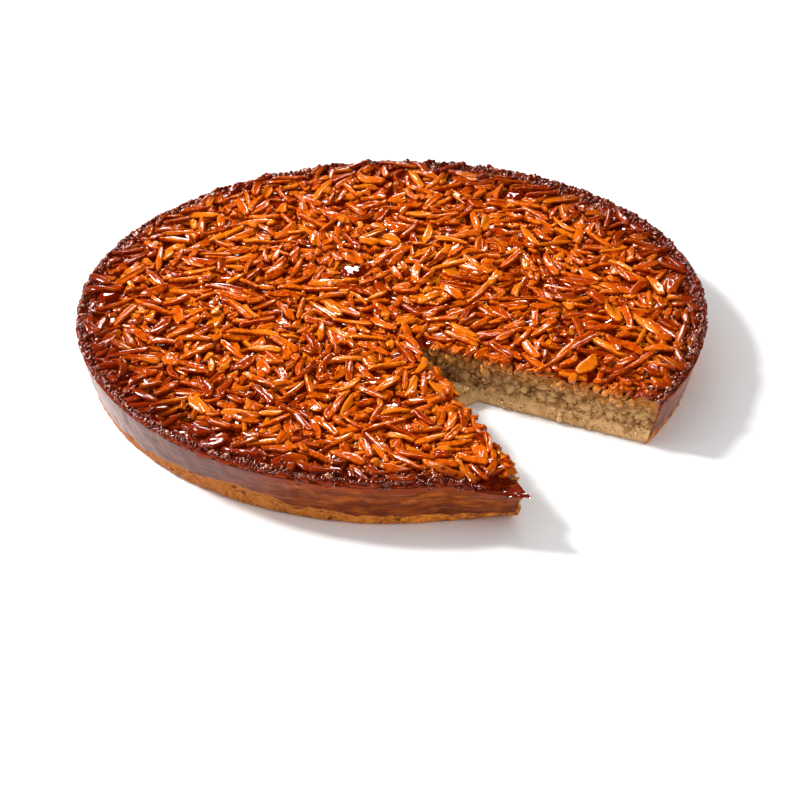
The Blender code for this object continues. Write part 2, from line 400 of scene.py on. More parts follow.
class Outline:
    """One layer's edge, sampled the same way at every height, anticlockwise."""

    def __init__(self, wall_step, cut_step):
        self.wall_count = round(RIM_RADIUS * (TURN - 2 * HALF_WEDGE) / wall_step)
        self.cut_count = round((RIM_RADIUS - np.hypot(*APEX)) / cut_step)
        self.count = self.wall_count + 2 * self.cut_count
        self.is_wall = np.arange(self.count) < self.wall_count
        self.wall_share = np.arange(self.wall_count) / self.wall_count
        self.cut_share = np.arange(self.cut_count) / self.cut_count

    def at(self, height, ledge=0.0):
        """Points and outward directions at one height."""
        start, end = wall_span(height, height)
        angle = start + (end - start) * self.wall_share
        wall = heading(angle) * wall_radius(angle, height)[:, None]
        near, near_out, near_rough = self.cut_face(NEAR_CUT, height, 1.0, ledge * LEDGE_NEAR)
        far, far_out, far_rough = self.cut_face(FAR_CUT, height, -1.0, ledge * LEDGE_FAR)
        points = np.concatenate([wall, near[::-1], far])
        outward = np.concatenate([heading(angle), near_out[::-1], far_out])
        rough = np.concatenate([np.ones(len(wall)), near_rough[::-1], far_rough])
        return points, outward, rough

    def cut_face(self, cut, height, side, ledge):
        """Points from the apex outwards; the ledge moves the first ones up the wedge.

        The last result is how rough each point may be, so that no corner folds over."""
        share = self.cut_share if side < 0 else self.cut_share + 1.0 / self.cut_count
        run = reach_from_apex(np.array([cut]), height)
        points = APEX + heading(cut) * run * share[:, None]
        outward = np.tile(heading(cut + side * math.pi / 2), (len(points), 1))
        from_apex = np.hypot(*(points - APEX).T)
        short = ledge - from_apex
        filled = short > 0.0
        corner = np.minimum(np.minimum(from_apex, run - from_apex), np.abs(short))
        rough = np.clip(corner / (4 * MM), 0.1, 1.0)
        push = np.where(filled, short * math.cos(HALF_WEDGE), 0.0)
        points = points + heading(MOUTH) * push[:, None]
        outward[filled] = heading(MOUTH)
        return points, outward, rough


def stacked_layer(name, outline, levels, material):
    """A closed layer. `levels` holds (height, inset, ledge) from the underside up."""
    rings = []
    for height, inset, ledge in levels:
        flat, outward, rough = outline.at(height, ledge)
        points = np.column_stack([flat, np.full(outline.count, height)])
        relief = np.where(outline.is_wall, wall_relief(points) - SKIN, cut_relief(points))
        points[:, :2] += outward * (relief * rough - inset)[:, None]
        rings.append(points)
    count, rows = outline.count, len(rings)
    piece = mesh_object(
        name, np.concatenate(rings), grid_faces(rows, count, ring=True), material
    )
    close_rings(piece.data, range(count), range((rows - 1) * count, rows * count))
    set_attribute(piece.data, "inside", np.tile(~outline.is_wall, rows))
    return piece


def close_rings(mesh, bottom, top=None):
    """Caps the rings: the first faces down, the second up."""
    body = bmesh.new()
    body.from_mesh(mesh)
    body.verts.ensure_lookup_table()
    caps = [body.faces.new([body.verts[i] for i in bottom][::-1])]
    if top is not None:
        caps.append(body.faces.new([body.verts[i] for i in top]))
    body.normal_update()
    bmesh.ops.triangulate(body, faces=caps)
    body.to_mesh(mesh)
    body.free()
    mesh.shade_smooth()
    mesh.set_sharp_from_angle(angle=math.radians(55))


# -------------------------------------------------------------- materials


# A colour Mix node's sockets: the share, the two colours and the result.
MIX_SHARE, MIX_FIRST, MIX_SECOND, MIX_RESULT = 0, 6, 7, 2


class Wiring:
    """Makes nodes in a tree and links them."""

    def __init__(self, tree):
        self.tree = tree

    def feed(self, socket, value):
        """A link from another node's output, or a plain value."""
        if isinstance(value, bpy.types.NodeSocket):
            self.tree.links.new(value, socket)
        elif socket.type == "RGBA":
            socket.default_value = (*value, 1.0)
        else:
            socket.default_value = value

    def node(self, kind, inputs, out=0, **values):
        """Adds a node, feeds its inputs and gives one of its outputs."""
        made = self.tree.nodes.new(kind)
        made.location = (-40 * len(self.tree.nodes), 0)
        for key, value in values.items():
            setattr(made, key, value)
        for key, value in inputs.items():
            self.feed(made.inputs[key], value)
        return made.outputs[out]


class Recipe(Wiring):
    """Builds one material's nodes."""

    def __init__(self, name):
        self.material = bpy.data.materials.new(name)
        self.material.use_nodes = True
        super().__init__(self.material.node_tree)
        self.shader = self.tree.nodes["Principled BSDF"]
        self.place = self.node("ShaderNodeTexCoord", {}, "Object")

    def math(self, operation, first, second):
        return self.node("ShaderNodeMath", {0: first, 1: second}, operation=operation)

    def times(self, first, second):
        return self.math("MULTIPLY", first, second)

    def plus(self, first, second):
        return self.math("ADD", first, second)

    def attribute(self, name):
        return self.node("ShaderNodeAttribute", {}, "Fac", attribute_name=name)

    def vector(self, operation, other, out=0):
        """The Object coordinates combined with another vector."""
        inputs = {0: self.place, 1: other}
        return self.node("ShaderNodeVectorMath", inputs, out, operation=operation)

    def towards(self, side):
        """Distance of each point from the middle towards one side of the round."""
        return self.vector("DOT_PRODUCT", (math.cos(side), math.sin(side), 0.0), "Value")

    def height(self):
        return self.node("ShaderNodeSeparateXYZ", {0: self.place}, "Z")

    def cloud(self, size, detail=3.0, distortion=0.0, upright=1.0):
        """Noise with lumps of a real size, about 0.5 on average, drawn out up and down."""
        place = self.place
        if upright != 1.0:
            place = self.vector("MULTIPLY", (1.0, 1.0, 1.0 / upright))
        inputs = {"Vector": place, "Scale": 1.0 / size, "Detail": detail}
        inputs |= {"Roughness": 0.55, "Distortion": distortion}
        return self.node("ShaderNodeTexNoise", inputs, "Fac")

    def cells(self, size):
        inputs = {"Vector": self.place, "Scale": 1.0 / size}
        return self.node("ShaderNodeTexVoronoi", inputs, "Distance")

    def span(self, value, low, high, to_low=0.0, to_high=1.0):
        """Eases from `to_low` to `to_high` while the value goes from low to high."""
        inputs = {"Value": value, "From Min": low, "From Max": high}
        inputs |= {"To Min": to_low, "To Max": to_high}
        return self.node("ShaderNodeMapRange", inputs, "Result", interpolation_type="SMOOTHSTEP")

    def mix(self, share, first, second):
        """The first colour where the share is 0, and the second where it is 1."""
        inputs = {MIX_SHARE: share, MIX_FIRST: first, MIX_SECOND: second}
        return self.node("ShaderNodeMix", inputs, MIX_RESULT, data_type="RGBA")

    def coats(self, colour, *coats):
        """Coats over a colour, in order, each a share and the colour it brings."""
        for share, paint in coats:
            colour = self.mix(share, colour, paint)
        return colour

    def bump(self, size, depth, detail=3.0):
        """Lumps of that size in the light on the surface, that deep."""
        inputs = {"Distance": depth, "Height": self.cloud(size, detail)}
        return self.node("ShaderNodeBump", inputs, "Normal")

    def finish(self, **inputs):
        for key, value in inputs.items():
            self.feed(self.shader.inputs[key.replace("_", " ")], value)
        return self.material


def golden_crust(recipe, leeward):
    """Dry crust: golden and mottled, with lighter specks painted as highlights, painted shade in
    cracks, and painted shade darkening one side.
    """
    mottle = recipe.span(recipe.cloud(3.4 * MM, 4.0), 0.35, 0.65)
    crack_shade = recipe.cloud(3.4 * MM, 3.0, distortion=1.2, upright=0.5)
    return recipe.coats(
        recipe.mix(mottle, (0.54, 0.15, 0.016), settings().bake.crust),
        # Painted highlights: lighter specks on the crumbs.
        (recipe.span(recipe.cloud(1.5 * MM), 0.55, 0.75), (0.74, 0.29, 0.055)),
        # Painted shade: darker toward one side of the round.
        (recipe.span(leeward, 0.55 * RIM_RADIUS, 0.98 * RIM_RADIUS, 0.0, 0.60), (0.26, 0.085, 0.022)),
        # Painted shade in cracks.
        (recipe.span(crack_shade, 0.37, 0.44, 0.9, 0.0), (0.12, 0.022, 0.004)),
    )


def caramelised_skin(recipe, leeward):
    """Red-brown skin: amber patches and level streaks, pale lilac streaks painted as sheen, and a
    grey-lilac reflection painted on one side.
    """
    height = recipe.height()
    shades = recipe.span(recipe.cloud(9 * MM, 4.0, upright=0.4), 0.35, 0.65)
    glow = recipe.cloud(13 * MM, 3.0, distortion=0.6, upright=0.35)
    glow = recipe.times(
        recipe.span(glow, 0.50, 0.66, 0.0, 0.7), recipe.span(height, 8 * MM, 15 * MM)
    )
    streaks = recipe.span(recipe.cloud(9 * MM, 4.0, upright=0.12), 0.45, 0.60, 0.0, 0.6)
    # Painted sheen: faint pale lilac streaks for the white table seen in the satin skin.
    pale = recipe.span(recipe.cloud(12 * MM, 4.0, upright=0.10), 0.56, 0.68, 0.0, 0.30)
    # Painted reflection: toward one side the skin turns grey-lilac, as the white table mirrored at a
    # grazing angle.
    painted_reflection = recipe.span(leeward, 0.84 * RIM_RADIUS, 0.98 * RIM_RADIUS, 0.0, 0.85)
    return recipe.coats(
        recipe.mix(shades, (0.15, 0.024, 0.0030), (0.30, 0.060, 0.0060)),
        (glow, (0.55, 0.125, 0.010)),
        (streaks, (0.105, 0.015, 0.0022)),
        (pale, (0.42, 0.17, 0.12)),
        (recipe.span(height, 17 * MM, 21 * MM, 0.0, 0.7), (0.28, 0.032, 0.003)),
        (painted_reflection, recipe.mix(streaks, (0.165, 0.084, 0.074), (0.095, 0.051, 0.047))),
    )


def side_material():
    """The baked wall: dry golden crust low down, a satin caramelised skin above it."""
    recipe = Recipe("baked_side")
    line = recipe.times(recipe.cloud(2.6 * MM, 4.0), 0.34)
    glazed = recipe.span(recipe.plus(recipe.attribute("above"), line), 0.60, 0.80)
    # Reach toward the side where shade and a grey-lilac reflection are painted on the wall.
    leeward = recipe.towards(PAINTED_LIGHT_SIDE)
    return recipe.finish(
        Base_Color=recipe.mix(
            glazed, golden_crust(recipe, leeward), caramelised_skin(recipe, leeward)
        ),
        Roughness=recipe.span(glazed, 0.0, 1.0, 0.8, 0.25),
        Specular_IOR_Level=0.12,
        Sheen_Weight=0.15,
        Sheen_Roughness=0.25,
        Sheen_Tint=(0.90, 0.90, 1.0),
        Normal=recipe.bump(1.0 * MM, recipe.span(glazed, 0.0, 1.0, 0.5 * MM, 0.06 * MM), 4.0),
    )


def crust_material():
    """Shortcrust where it is cut: pale and sandy, with painted shade in a few pits."""
    recipe = Recipe("baked_crust")
    sandy = recipe.coats(
        settings().bake.crust_inside,
        (recipe.cloud(2.4 * MM, 4.0), (0.66, 0.38, 0.15)),
        (recipe.span(recipe.cloud(6 * MM, 3.0), 0.42, 0.66, 0.0, 0.7), (0.54, 0.29, 0.10)),
        # Painted shade in pits.
        (recipe.span(recipe.cells(2.2 * MM), 0.08, 0.22, 1.0, 0.0), (0.20, 0.08, 0.02)),
    )
    return recipe.finish(
        Base_Color=recipe.mix(recipe.attribute("inside"), (0.40, 0.11, 0.012), sandy),
        Roughness=0.8,
        Specular_IOR_Level=0.2,
        Normal=recipe.bump(0.9 * MM, 0.5 * MM, 4.0),
    )


def filling_material():
    """Almond filling: crumbly tan lumps, with painted shade in the hollows between them."""
    recipe = Recipe("almond_filling_baked")
    tan = recipe.coats(
        settings().bake.filling,
        (recipe.cloud(4.0 * MM, 3.0), (0.66, 0.37, 0.14)),
        (recipe.span(recipe.cloud(8 * MM), 0.45, 0.62), (0.34, 0.145, 0.040)),
        # Painted shade in the hollows between the lumps.
        (recipe.times(recipe.attribute("hollow"), 0.9), (0.11, 0.032, 0.006)),
        (recipe.span(recipe.height(), 13 * MM, 19 * MM, 0.0, 0.6), (0.42, 0.15, 0.02)),
    )
    return recipe.finish(
        Base_Color=recipe.mix(recipe.attribute("inside"), (0.24, 0.036, 0.004), tan),
        Roughness=0.6,
        Specular_IOR_Level=0.25,
        Normal=recipe.bump(1.1 * MM, 0.4 * MM, 4.0),
    )


def chopped_material(name, light, dark):
    """Bits of almond and crumb, each with its own tint."""
    recipe = Recipe(name)
    colour = recipe.coats(
        recipe.mix(recipe.attribute("tint"), dark, light),
        (recipe.span(recipe.cloud(1.5 * MM), 0.45, 0.75, 0.0, 0.5), dark),
        (recipe.span(recipe.height(), 14 * MM, 21 * MM, 0.0, 0.85), (0.50, 0.15, 0.012)),
    )
    grain = recipe.bump(0.7 * MM, 0.2 * MM)
    return recipe.finish(Base_Color=colour, Roughness=0.5, Specular_IOR_Level=0.3, Normal=grain)


def almond_material():
    """Almond under caramel: amber on top, red-brown at the rim and down the sides, the sides partly
    painted shade; painted shade where it lies deep, and a painted highlight along the ridges.
    """
    slivers = settings().slivers
    recipe = Recipe("caramelised_almond")
    tint, flank = recipe.attribute("tint"), recipe.attribute("flank")
    film = recipe.span(recipe.cloud(1.9 * MM, 4.0), 0.36, 0.66)
    region = recipe.span(recipe.cloud(40 * MM, 2.0), 0.3, 0.7)
    thick = recipe.plus(recipe.times(tint, 0.70), recipe.times(film, 0.45))
    thick = recipe.plus(thick, recipe.times(region, 0.15))
    # Painted highlight: a lighter band along each sliver's ridge, where light catches the glaze.
    ridge_highlight = recipe.times(
        recipe.span(flank, 0.04, 0.2), recipe.span(flank, 0.3, 0.6, 1.0, 0.0)
    )
    ridge_highlight = recipe.times(ridge_highlight, recipe.span(film, 0.2, 0.8, 0.5, 0.0))
    edge = recipe.plus(flank, recipe.times(film, 0.25))
    colour = recipe.coats(
        recipe.mix(recipe.span(thick, 0.15, 1.15), slivers.pale, slivers.deep),
        (recipe.span(tint, 0.08, 0.22, 0.5, 0.0), (0.76, 0.20, 0.006)),
        (recipe.span(tint, 0.80, 0.94, 0.0, 0.75), (0.22, 0.013, 0.0006)),
        (ridge_highlight, (0.86, 0.27, 0.015)),
        # Red-brown down each sliver's sides: partly thicker caramel there, partly painted shade.
        (recipe.span(edge, 0.45, 1.1, 0.0, 0.88), (0.27, 0.015, 0.0005)),
        (recipe.span(recipe.attribute("rim"), 0.1, 0.95, 0.0, 0.94), (0.17, 0.010, 0.0010)),
        # Painted shade: almonds that lie deep below the crests are darkened.
        (recipe.span(recipe.attribute("sunk"), 0.15, 0.95), (0.16, 0.008, 0.0003)),
        (recipe.attribute("bare"), slivers.bare),
    )
    return recipe.finish(
        Base_Color=colour,
        Roughness=0.5,
        Normal=recipe.bump(1.6 * MM, 0.35 * MM),
        Specular_IOR_Level=0.0,
        Subsurface_Weight=0.15,
        Subsurface_Radius=(2.2 * MM, 0.7 * MM, 0.2 * MM),
        Subsurface_Scale=1.0,
        Coat_Weight=1.0,
        Coat_Roughness=0.03,
        Coat_IOR=1.45,
        Coat_Normal=recipe.bump(3.0 * MM, 0.22 * MM, 2.0),
    )


def caramel_material():
    """Set caramel: clear red-brown, almost black where it is deep or burnt."""
    caramel = settings().caramel
    recipe = Recipe("set_caramel")
    share, side, inside = (recipe.attribute(name) for name in ("rim", "side", "inside"))
    patchy = recipe.span(recipe.cloud(4 * MM, 4.0), 0.35, 0.7)
    clear = recipe.span(recipe.cloud(2.6 * MM, 3.0), 0.58, 0.72, 0.0, 0.7)
    burnt = recipe.coats(
        caramel.burnt, (patchy, (0.05, 0.0045, 0.0009)), (clear, (0.34, 0.055, 0.006))
    )
    # Painted glints: a few beads are made pale cream to stand in for small highlights.
    glint_share = recipe.span(recipe.attribute("tint"), 0.86, 0.90, 0.0, 0.55)
    cut = recipe.mix(recipe.cloud(3 * MM, 3.0), (0.34, 0.09, 0.008), (0.48, 0.20, 0.04))
    colour = recipe.coats(
        recipe.mix(patchy, caramel.amber, (0.12, 0.006, 0.0002)),
        (recipe.span(share, 0.0, 0.6), burnt),
        (recipe.times(side, 0.7), (0.24, 0.024, 0.0020)),
        (recipe.span(share, 1.05, 1.6, 0.0, 0.9), (0.12, 0.0105, 0.0040)),
        (glint_share, (0.55, 0.19, 0.085)),
        (inside, cut),
    )
    plain = recipe.math("MAXIMUM", side, inside)
    return recipe.finish(
        Base_Color=colour,
        Roughness=0.45,
        Normal=recipe.bump(3.6 * MM, 0.4 * MM, 2.0),
        Specular_IOR_Level=0.0,
        Coat_Weight=recipe.span(plain, 0.0, 1.0, 0.95, 0.25),
        Coat_Roughness=0.04,
        Coat_IOR=1.72,
    )


# ---------------------------------------------------------- crust, filling


def make_crust():
    outline = Outline(1.3 * MM, 0.8 * MM)
    rounding = 1.2 * MM
    levels = [(0.0, rounding, 1.0), (0.35 * MM, 0.45 * rounding, 1.0)]
    for rise in np.linspace(rounding, CRUST_TOP, 8):
        levels.append((rise, 0.0, 1.0 - 0.15 * (rise / CRUST_TOP) ** 2))
    dress(stacked_layer("shortcrust", outline, levels, crust_material()), "crust", "crust_base")


def make_filling():
    outline = Outline(1.3 * MM, 0.7 * MM)
    heights = np.linspace(CRUST_TOP - 0.25 * MM, TOPPING_FOOT + 0.25 * MM, 17)
    levels = [(height, 0.0, 0.0) for height in heights]
    piece = stacked_layer("almond_crumb", outline, levels, filling_material())
    points = vertex_array(piece.data)
    # Painted shade: 1 in the hollows between the clods of the cut face, 0 on their tops.
    hollow = 1.0 - clods(points, 5.2 * MM) * (0.5 + 0.5 * clods(points, 2.4 * MM))
    set_attribute(piece.data, "hollow", np.clip(hollow * 1.3 - 0.2, 0.0, 1.0))
    dress(piece, "almond_paste", "almond_filling")


def make_side():
    """The browned skin of the wall, from the table up to the caramel, as a closed shell."""
    columns, rows = 900, 30
    share = np.linspace(0.0, 1.0, columns)
    start, end = wall_span(CARAMEL_TOP, FILLING_TOP)
    top = CARAMEL_TOP - 0.8 * MM - 3.2 * MM * point_share(start + (end - start) * share)
    rises = np.concatenate([[0.0, 0.016, 0.05], np.linspace(0.09, 1.0, rows - 3)])
    tucks = np.concatenate([[1.3, 0.5, 0.12], np.zeros(rows - 3)]) * MM
    outer, inner = [], []
    for rise, tuck in zip(rises, tucks):
        height = top * rise
        start, end = wall_span(height[0], height[-1])
        angle = start + (end - start) * share
        flat = heading(angle) * wall_radius(angle, height)[:, None]
        points = np.column_stack([flat, height])
        reliefs = side_relief(points) - tuck, wall_relief(points) - 2.4 * SKIN
        for ring, shift in zip((outer, inner), reliefs):
            moved = points.copy()
            moved[:, :2] += heading(angle) * shift[:, None]
            ring.append(moved)
    vertices = np.concatenate(outer + inner[::-1])
    around_count, last = 2 * rows, columns - 1
    faces = grid_faces(around_count, columns, loop=True)
    for row in range(rows - 1):
        low, high = row * columns, (row + 1) * columns
        back_low, back_high = (around_count - 1 - row) * columns, (around_count - 2 - row) * columns
        faces.append((low, high, back_high, back_low))
        faces.append((back_low + last, back_high + last, high + last, low + last))
    piece = mesh_object("baked_side", vertices, faces, side_material())
    set_attribute(piece.data, "above", np.clip(0.5 + above_crust(vertices) / (6 * MM), 0.0, 1.0))
    dress(piece, "crust")


# ----------------------------------------------------------------- almonds


class HeightMap:
    """Heights over the tart on a fine square grid."""

    def __init__(self, cell=0.5 * MM, reach=148.0 * MM):
        self.cell = cell
        self.reach = reach
        self.size = int(round(2 * reach / cell)) + 1
        axis = np.linspace(-reach, reach, self.size)
        self.x, self.y = np.meshgrid(axis, axis, indexing="ij")
        self.top = np.zeros((self.size, self.size))

    def index(self, value):
        cells = np.rint((value + self.reach) / self.cell).astype(int)
        return np.clip(cells, 0, self.size - 1)

    def at(self, x, y, grid=None):
        grid = self.top if grid is None else grid
        return grid[self.index(x), self.index(y)]

    def settle(self):
        """Keeps copies of the finished map, smoothed over short and long distances."""
        self.close, self.crests, self.broad = (
            self.blurred(size * MM) for size in (1.3, 2.2, 4.0)
        )

    def blurred(self, size):
        """The map smoothed over about that distance, within the tart's edge."""
        inside = (edge_distance(self.x, self.y) > -1.0 * MM).astype(float)
        total = blur(self.top * inside, size / self.cell)
        weight = blur(inside, size / self.cell)
        return np.where(weight > 1e-3, total / np.maximum(weight, 1e-3), self.top)


def blur(grid, cells):
    """A gaussian blur by two one-way passes."""
    half = int(math.ceil(cells * 2.5))
    span = np.arange(-half, half + 1)
    kernel = np.exp(-0.5 * (span / cells) ** 2)
    kernel /= kernel.sum()
    for axis in (0, 1):
        grid = np.apply_along_axis(np.convolve, axis, grid, kernel, mode="same")
    return grid


# Kinds of sliver: share of the whole, length, width and thickness against an ordinary
# one, how much these vary, and which shapes it may take.
KINDS = (
    ("broad", 0.18, 1.00, 1.40, 1.00, 0.20, range(0, 6)),
    ("long", 0.32, 1.22, 1.02, 1.00, 0.16, range(6, 12)),
    ("slim", 0.22, 0.95, 0.78, 0.90, 0.20, range(12, 16)),
    ("short", 0.28, 0.52, 0.95, 0.92, 0.24, range(16, 20)),
)


def base_height(x, y):
    """What the first almonds lie on."""
    lip = np.clip(1.0 - wall_distance(x, y) / (9.0 * MM), 0.0, 1.0)
    swell = 0.4 * MM * np.sin(x / (31 * MM) + 1.0) * np.cos(y / (27 * MM))
    return TOPPING_FOOT + 2.3 * MM + swell + 0.6 * MM * lip


def strewn(draw, count, inset):
    """Places strewn evenly over the round, as far as that from its rim."""
    radius = (RIM_RADIUS - inset) * np.sqrt(draw.random(count))
    return around(radius, TURN * draw.random(count))


def lay_slivers(ground, seed=11):
    """Drops slivers one by one where they lie lowest. Returns an array, a row for each."""
    given = settings().slivers
    draw = np.random.default_rng(seed)
    tries = 7
    stations = np.linspace(-0.42, 0.42, 7)
    across = np.array([-0.3, 0.0, 0.3])
    left, right = np.meshgrid(np.arange(3), np.arange(4, 7), indexing="ij")
    left, right = left.ravel(), right.ravel()
    kinds = draw.choice(len(KINDS), given.count, p=[kind[1] for kind in KINDS])
    crest = TOPPING_CREST - 0.3 * MM
    laid = []
    for kind_index in kinds:
        kind = KINDS[kind_index]
        vary = 1.0 + kind[5] * draw.standard_normal(3)
        length = given.length * kind[2] * float(np.clip(vary[0], 0.6, 1.35))
        width = given.width * kind[3] * float(np.clip(vary[1], 0.6, 1.5))
        thickness = given.thickness * kind[4] * float(np.clip(vary[2], 0.7, 1.3))
        x, y = strewn(draw, tries, 3.0 * MM)
        turn = TURN * draw.random(tries)
        ahead = heading(turn)
        side = np.stack([-ahead[:, 1], ahead[:, 0]], -1)
        run = (stations * length)[:, None]
        off = across * width
        under_x, under_y = (
            place[:, None, None] + ahead[:, axis, None, None] * run + side[:, axis, None, None] * off
            for axis, place in enumerate((x, y))
        )
        heights = ground.at(under_x, under_y)
        # Each try rests like a plank on the two highest places below its halves.
        profile = 0.5 * heights.max(2) + 0.5 * heights.mean(2)
        run = run[:, 0]
        low, high = profile[:, left], profile[:, right]
        slope = (high - low) / (run[right] - run[left])
        pick = (low - slope * run[left]).argmax(1)
        slope = np.clip(slope[np.arange(tries), pick], -0.34, 0.34)
        lift = (profile - slope[:, None] * run).max(1)
        tips = []
        for end in (-0.5, 0.5):
            tip = (x + ahead[:, 0] * end * length, y + ahead[:, 1] * end * length)
            tips.append(np.minimum(edge_distance(*tip), POINT_ROOT - np.hypot(*tip)))
        outside = np.minimum(*tips) < -0.8 * MM
        outside |= (edge_distance(x, y) < 0.5 * width) | (rim_share(x, y) > 0.5)
        top = lift + np.abs(slope) * 0.5 * length + thickness + 0.08 * width
        outside |= top > crest
        score = lift + 0.2 * np.abs(slope) * length + np.where(outside, 1.0, 0.0)
        best = int(score.argmin())
        if outside[best]:
            continue
        cross = heights[best, :, 2].mean() - heights[best, :, 0].mean()
        spare = np.clip((crest - top[best]) / (0.5 * width), 0.0, 0.25)
        roll = 0.5 * cross / width + draw.normal(0.0, 0.22)
        roll = float(np.clip(roll, -0.2 - spare, 0.2 + spare))
        row = [
            x[best], y[best], lift[best] - 0.2 * thickness, turn[best], slope[best], roll,
            length, width, thickness, kind_index, draw.choice(kind[6]), draw.random(),
        ]
        laid.append(row)
        stamp(ground, row)
    return np.array(laid)


def stamp(ground, row):
    """Raises the map to the top of one sliver."""
    x, y, lift, turn, slope, _, length, width, thickness = row[:9]
    half = 0.5 * length + ground.cell
    over = tuple(
        slice(int(ground.index(at - half)), int(ground.index(at + half)) + 1) for at in (x, y)
    )
    dx, dy = ground.x[over] - x, ground.y[over] - y
    along = dx * math.cos(turn) + dy * math.sin(turn)
    beside = -dx * math.sin(turn) + dy * math.cos(turn)
    end = np.clip(1.0 - np.abs(2.0 * along / length) ** 3.5, 0.0, 1.0)
    edge = np.clip(1.0 - np.abs(2.0 * beside / width) ** 3.0, 0.0, 1.0)
    top = lift + slope * along + thickness * np.minimum(end, edge) ** 0.4
    patch = ground.top[over]
    ground.top[over] = np.where((end > 0) & (edge > 0), np.maximum(patch, top), patch)


def sliver_outline(draw, kind, length, width):
    """The rim of one sliver seen from above: two uneven sides and two rounded ends."""
    knots = np.array([-0.76, -0.28, 0.28, 0.76])
    if kind == "broad":
        half = 1.0 - draw.uniform(0.30, 0.55) * np.abs(knots) ** 1.8
        tips = draw.uniform(0.25, 0.50, 2)
    else:
        half = 1.0 - draw.uniform(0.05, 0.40) * np.abs(knots) ** 2
        tips = draw.uniform(0.40, 0.80, 2)
    half *= 1.0 + draw.uniform(-0.25, 0.25) * knots
    half *= 0.5 * width
    sides = []
    for side in (-1.0, 1.0):
        wobble = 1.0 + 0.14 * draw.standard_normal(len(knots))
        slide = draw.uniform(-0.07, 0.07, len(knots))
        sides.append(np.stack([(knots + slide) * 0.5 * length, side * half * wobble], -1))
    ends = []
    for end, tip, slant in zip((-1.0, 1.0), tips, draw.uniform(-0.45, 0.45, 2) * width):
        for side in (-1.0, 0.0, 1.0):
            back = 0.25 * tip * width * abs(side) + max(0.0, side * slant)
            if side == 0.0:
                back = 0.35 * abs(slant)
            ends.append((end * (0.5 * length - back), side * tip * 0.5 * width))
    return np.concatenate([sides[0], ends[3:], sides[1][::-1], ends[2::-1]])


# The rings of a sliver: height, how far in from the outline, and how far down the flank.
SLIVER_RINGS = (
    (0.06, 0.60 * MM, 1.0),
    (0.34, 0.0, 1.0),
    (0.72, 0.09 * MM, 0.75),
    (0.94, 0.45 * MM, 0.20),
    (1.00, 0.98 * MM, 0.0),
)


def sliver_shape(index):
    """One sliver near its real size, lying along x. Vertices, faces and flanks."""
    draw = np.random.default_rng(100 + index)
    given = settings().slivers
    kind = next(kind for kind in KINDS if index in kind[6])
    length, width = given.length * kind[2], given.width * kind[3]
    thickness = given.thickness * kind[4]
    ring = sliver_outline(draw, kind[0], length, width)
    bend = draw.uniform(-1.6, 1.6) * MM * (0.3 if kind[0] == "short" else 1.0)
    ring[:, 1] += bend * (2.0 * ring[:, 0] / length) ** 2
    arch = draw.uniform(-0.5, 0.7) * MM
    twist = draw.uniform(-0.18, 0.18)
    vertices, flanks = [], []
    count = len(ring)
    beside = ring[:, 1] - ring[:, 1].mean()
    near_tip = np.clip((np.abs(ring[:, 0]) - 0.36 * length) / (0.12 * length), 0.0, 1.0)
    for rise, inset, flank in SLIVER_RINGS:
        level = ring.copy()
        level[:, 1] -= np.sign(beside) * np.minimum(inset, 0.7 * np.abs(beside))
        level[:, 0] -= np.sign(ring[:, 0]) * near_tip * inset * 1.1
        level += 0.08 * MM * draw.standard_normal(level.shape)
        dome = 0.08 * thickness * draw.standard_normal(count) * (rise > 0.5)
        height = rise * thickness + dome
        height = height + arch * (1.0 - (2.0 * ring[:, 0] / length) ** 2)
        height = height + twist * ring[:, 1] * (2.0 * ring[:, 0] / length)
        vertices.append(np.column_stack([level, height]))
        flanks.append(np.full(count, flank))
    faces = grid_faces(len(SLIVER_RINGS), count, ring=True)
    last = (len(SLIVER_RINGS) - 1) * count
    for base, way in ((0, -1), (last, 1)):
        for i in range(count // 2 - 1):
            quad = (base + i, base + i + 1, base + count - 2 - i, base + count - 1 - i)
            faces.append(quad[::way])
    return np.concatenate(vertices), faces, np.concatenate(flanks)


def shape_library(name, builder, count):
    """A hidden collection of shapes for the nodes to pick from."""
    library = bpy.data.collections.new(name)
    for index in range(count):
        vertices, faces, *flanks = builder(index)
        mesh = bpy.data.meshes.new(f"{name}_{index:02d}")
        mesh.from_pydata(vertices.tolist(), [], [tuple(face) for face in faces])
        body = bmesh.new()
        body.from_mesh(mesh)
        bmesh.ops.recalc_face_normals(body, faces=body.faces)
        body.to_mesh(mesh)
        body.free()
        if flanks:
            set_attribute(mesh, "flank", flanks[0])
        mesh.shade_smooth()
        library.objects.link(bpy.data.objects.new(mesh.name, mesh))
    return library


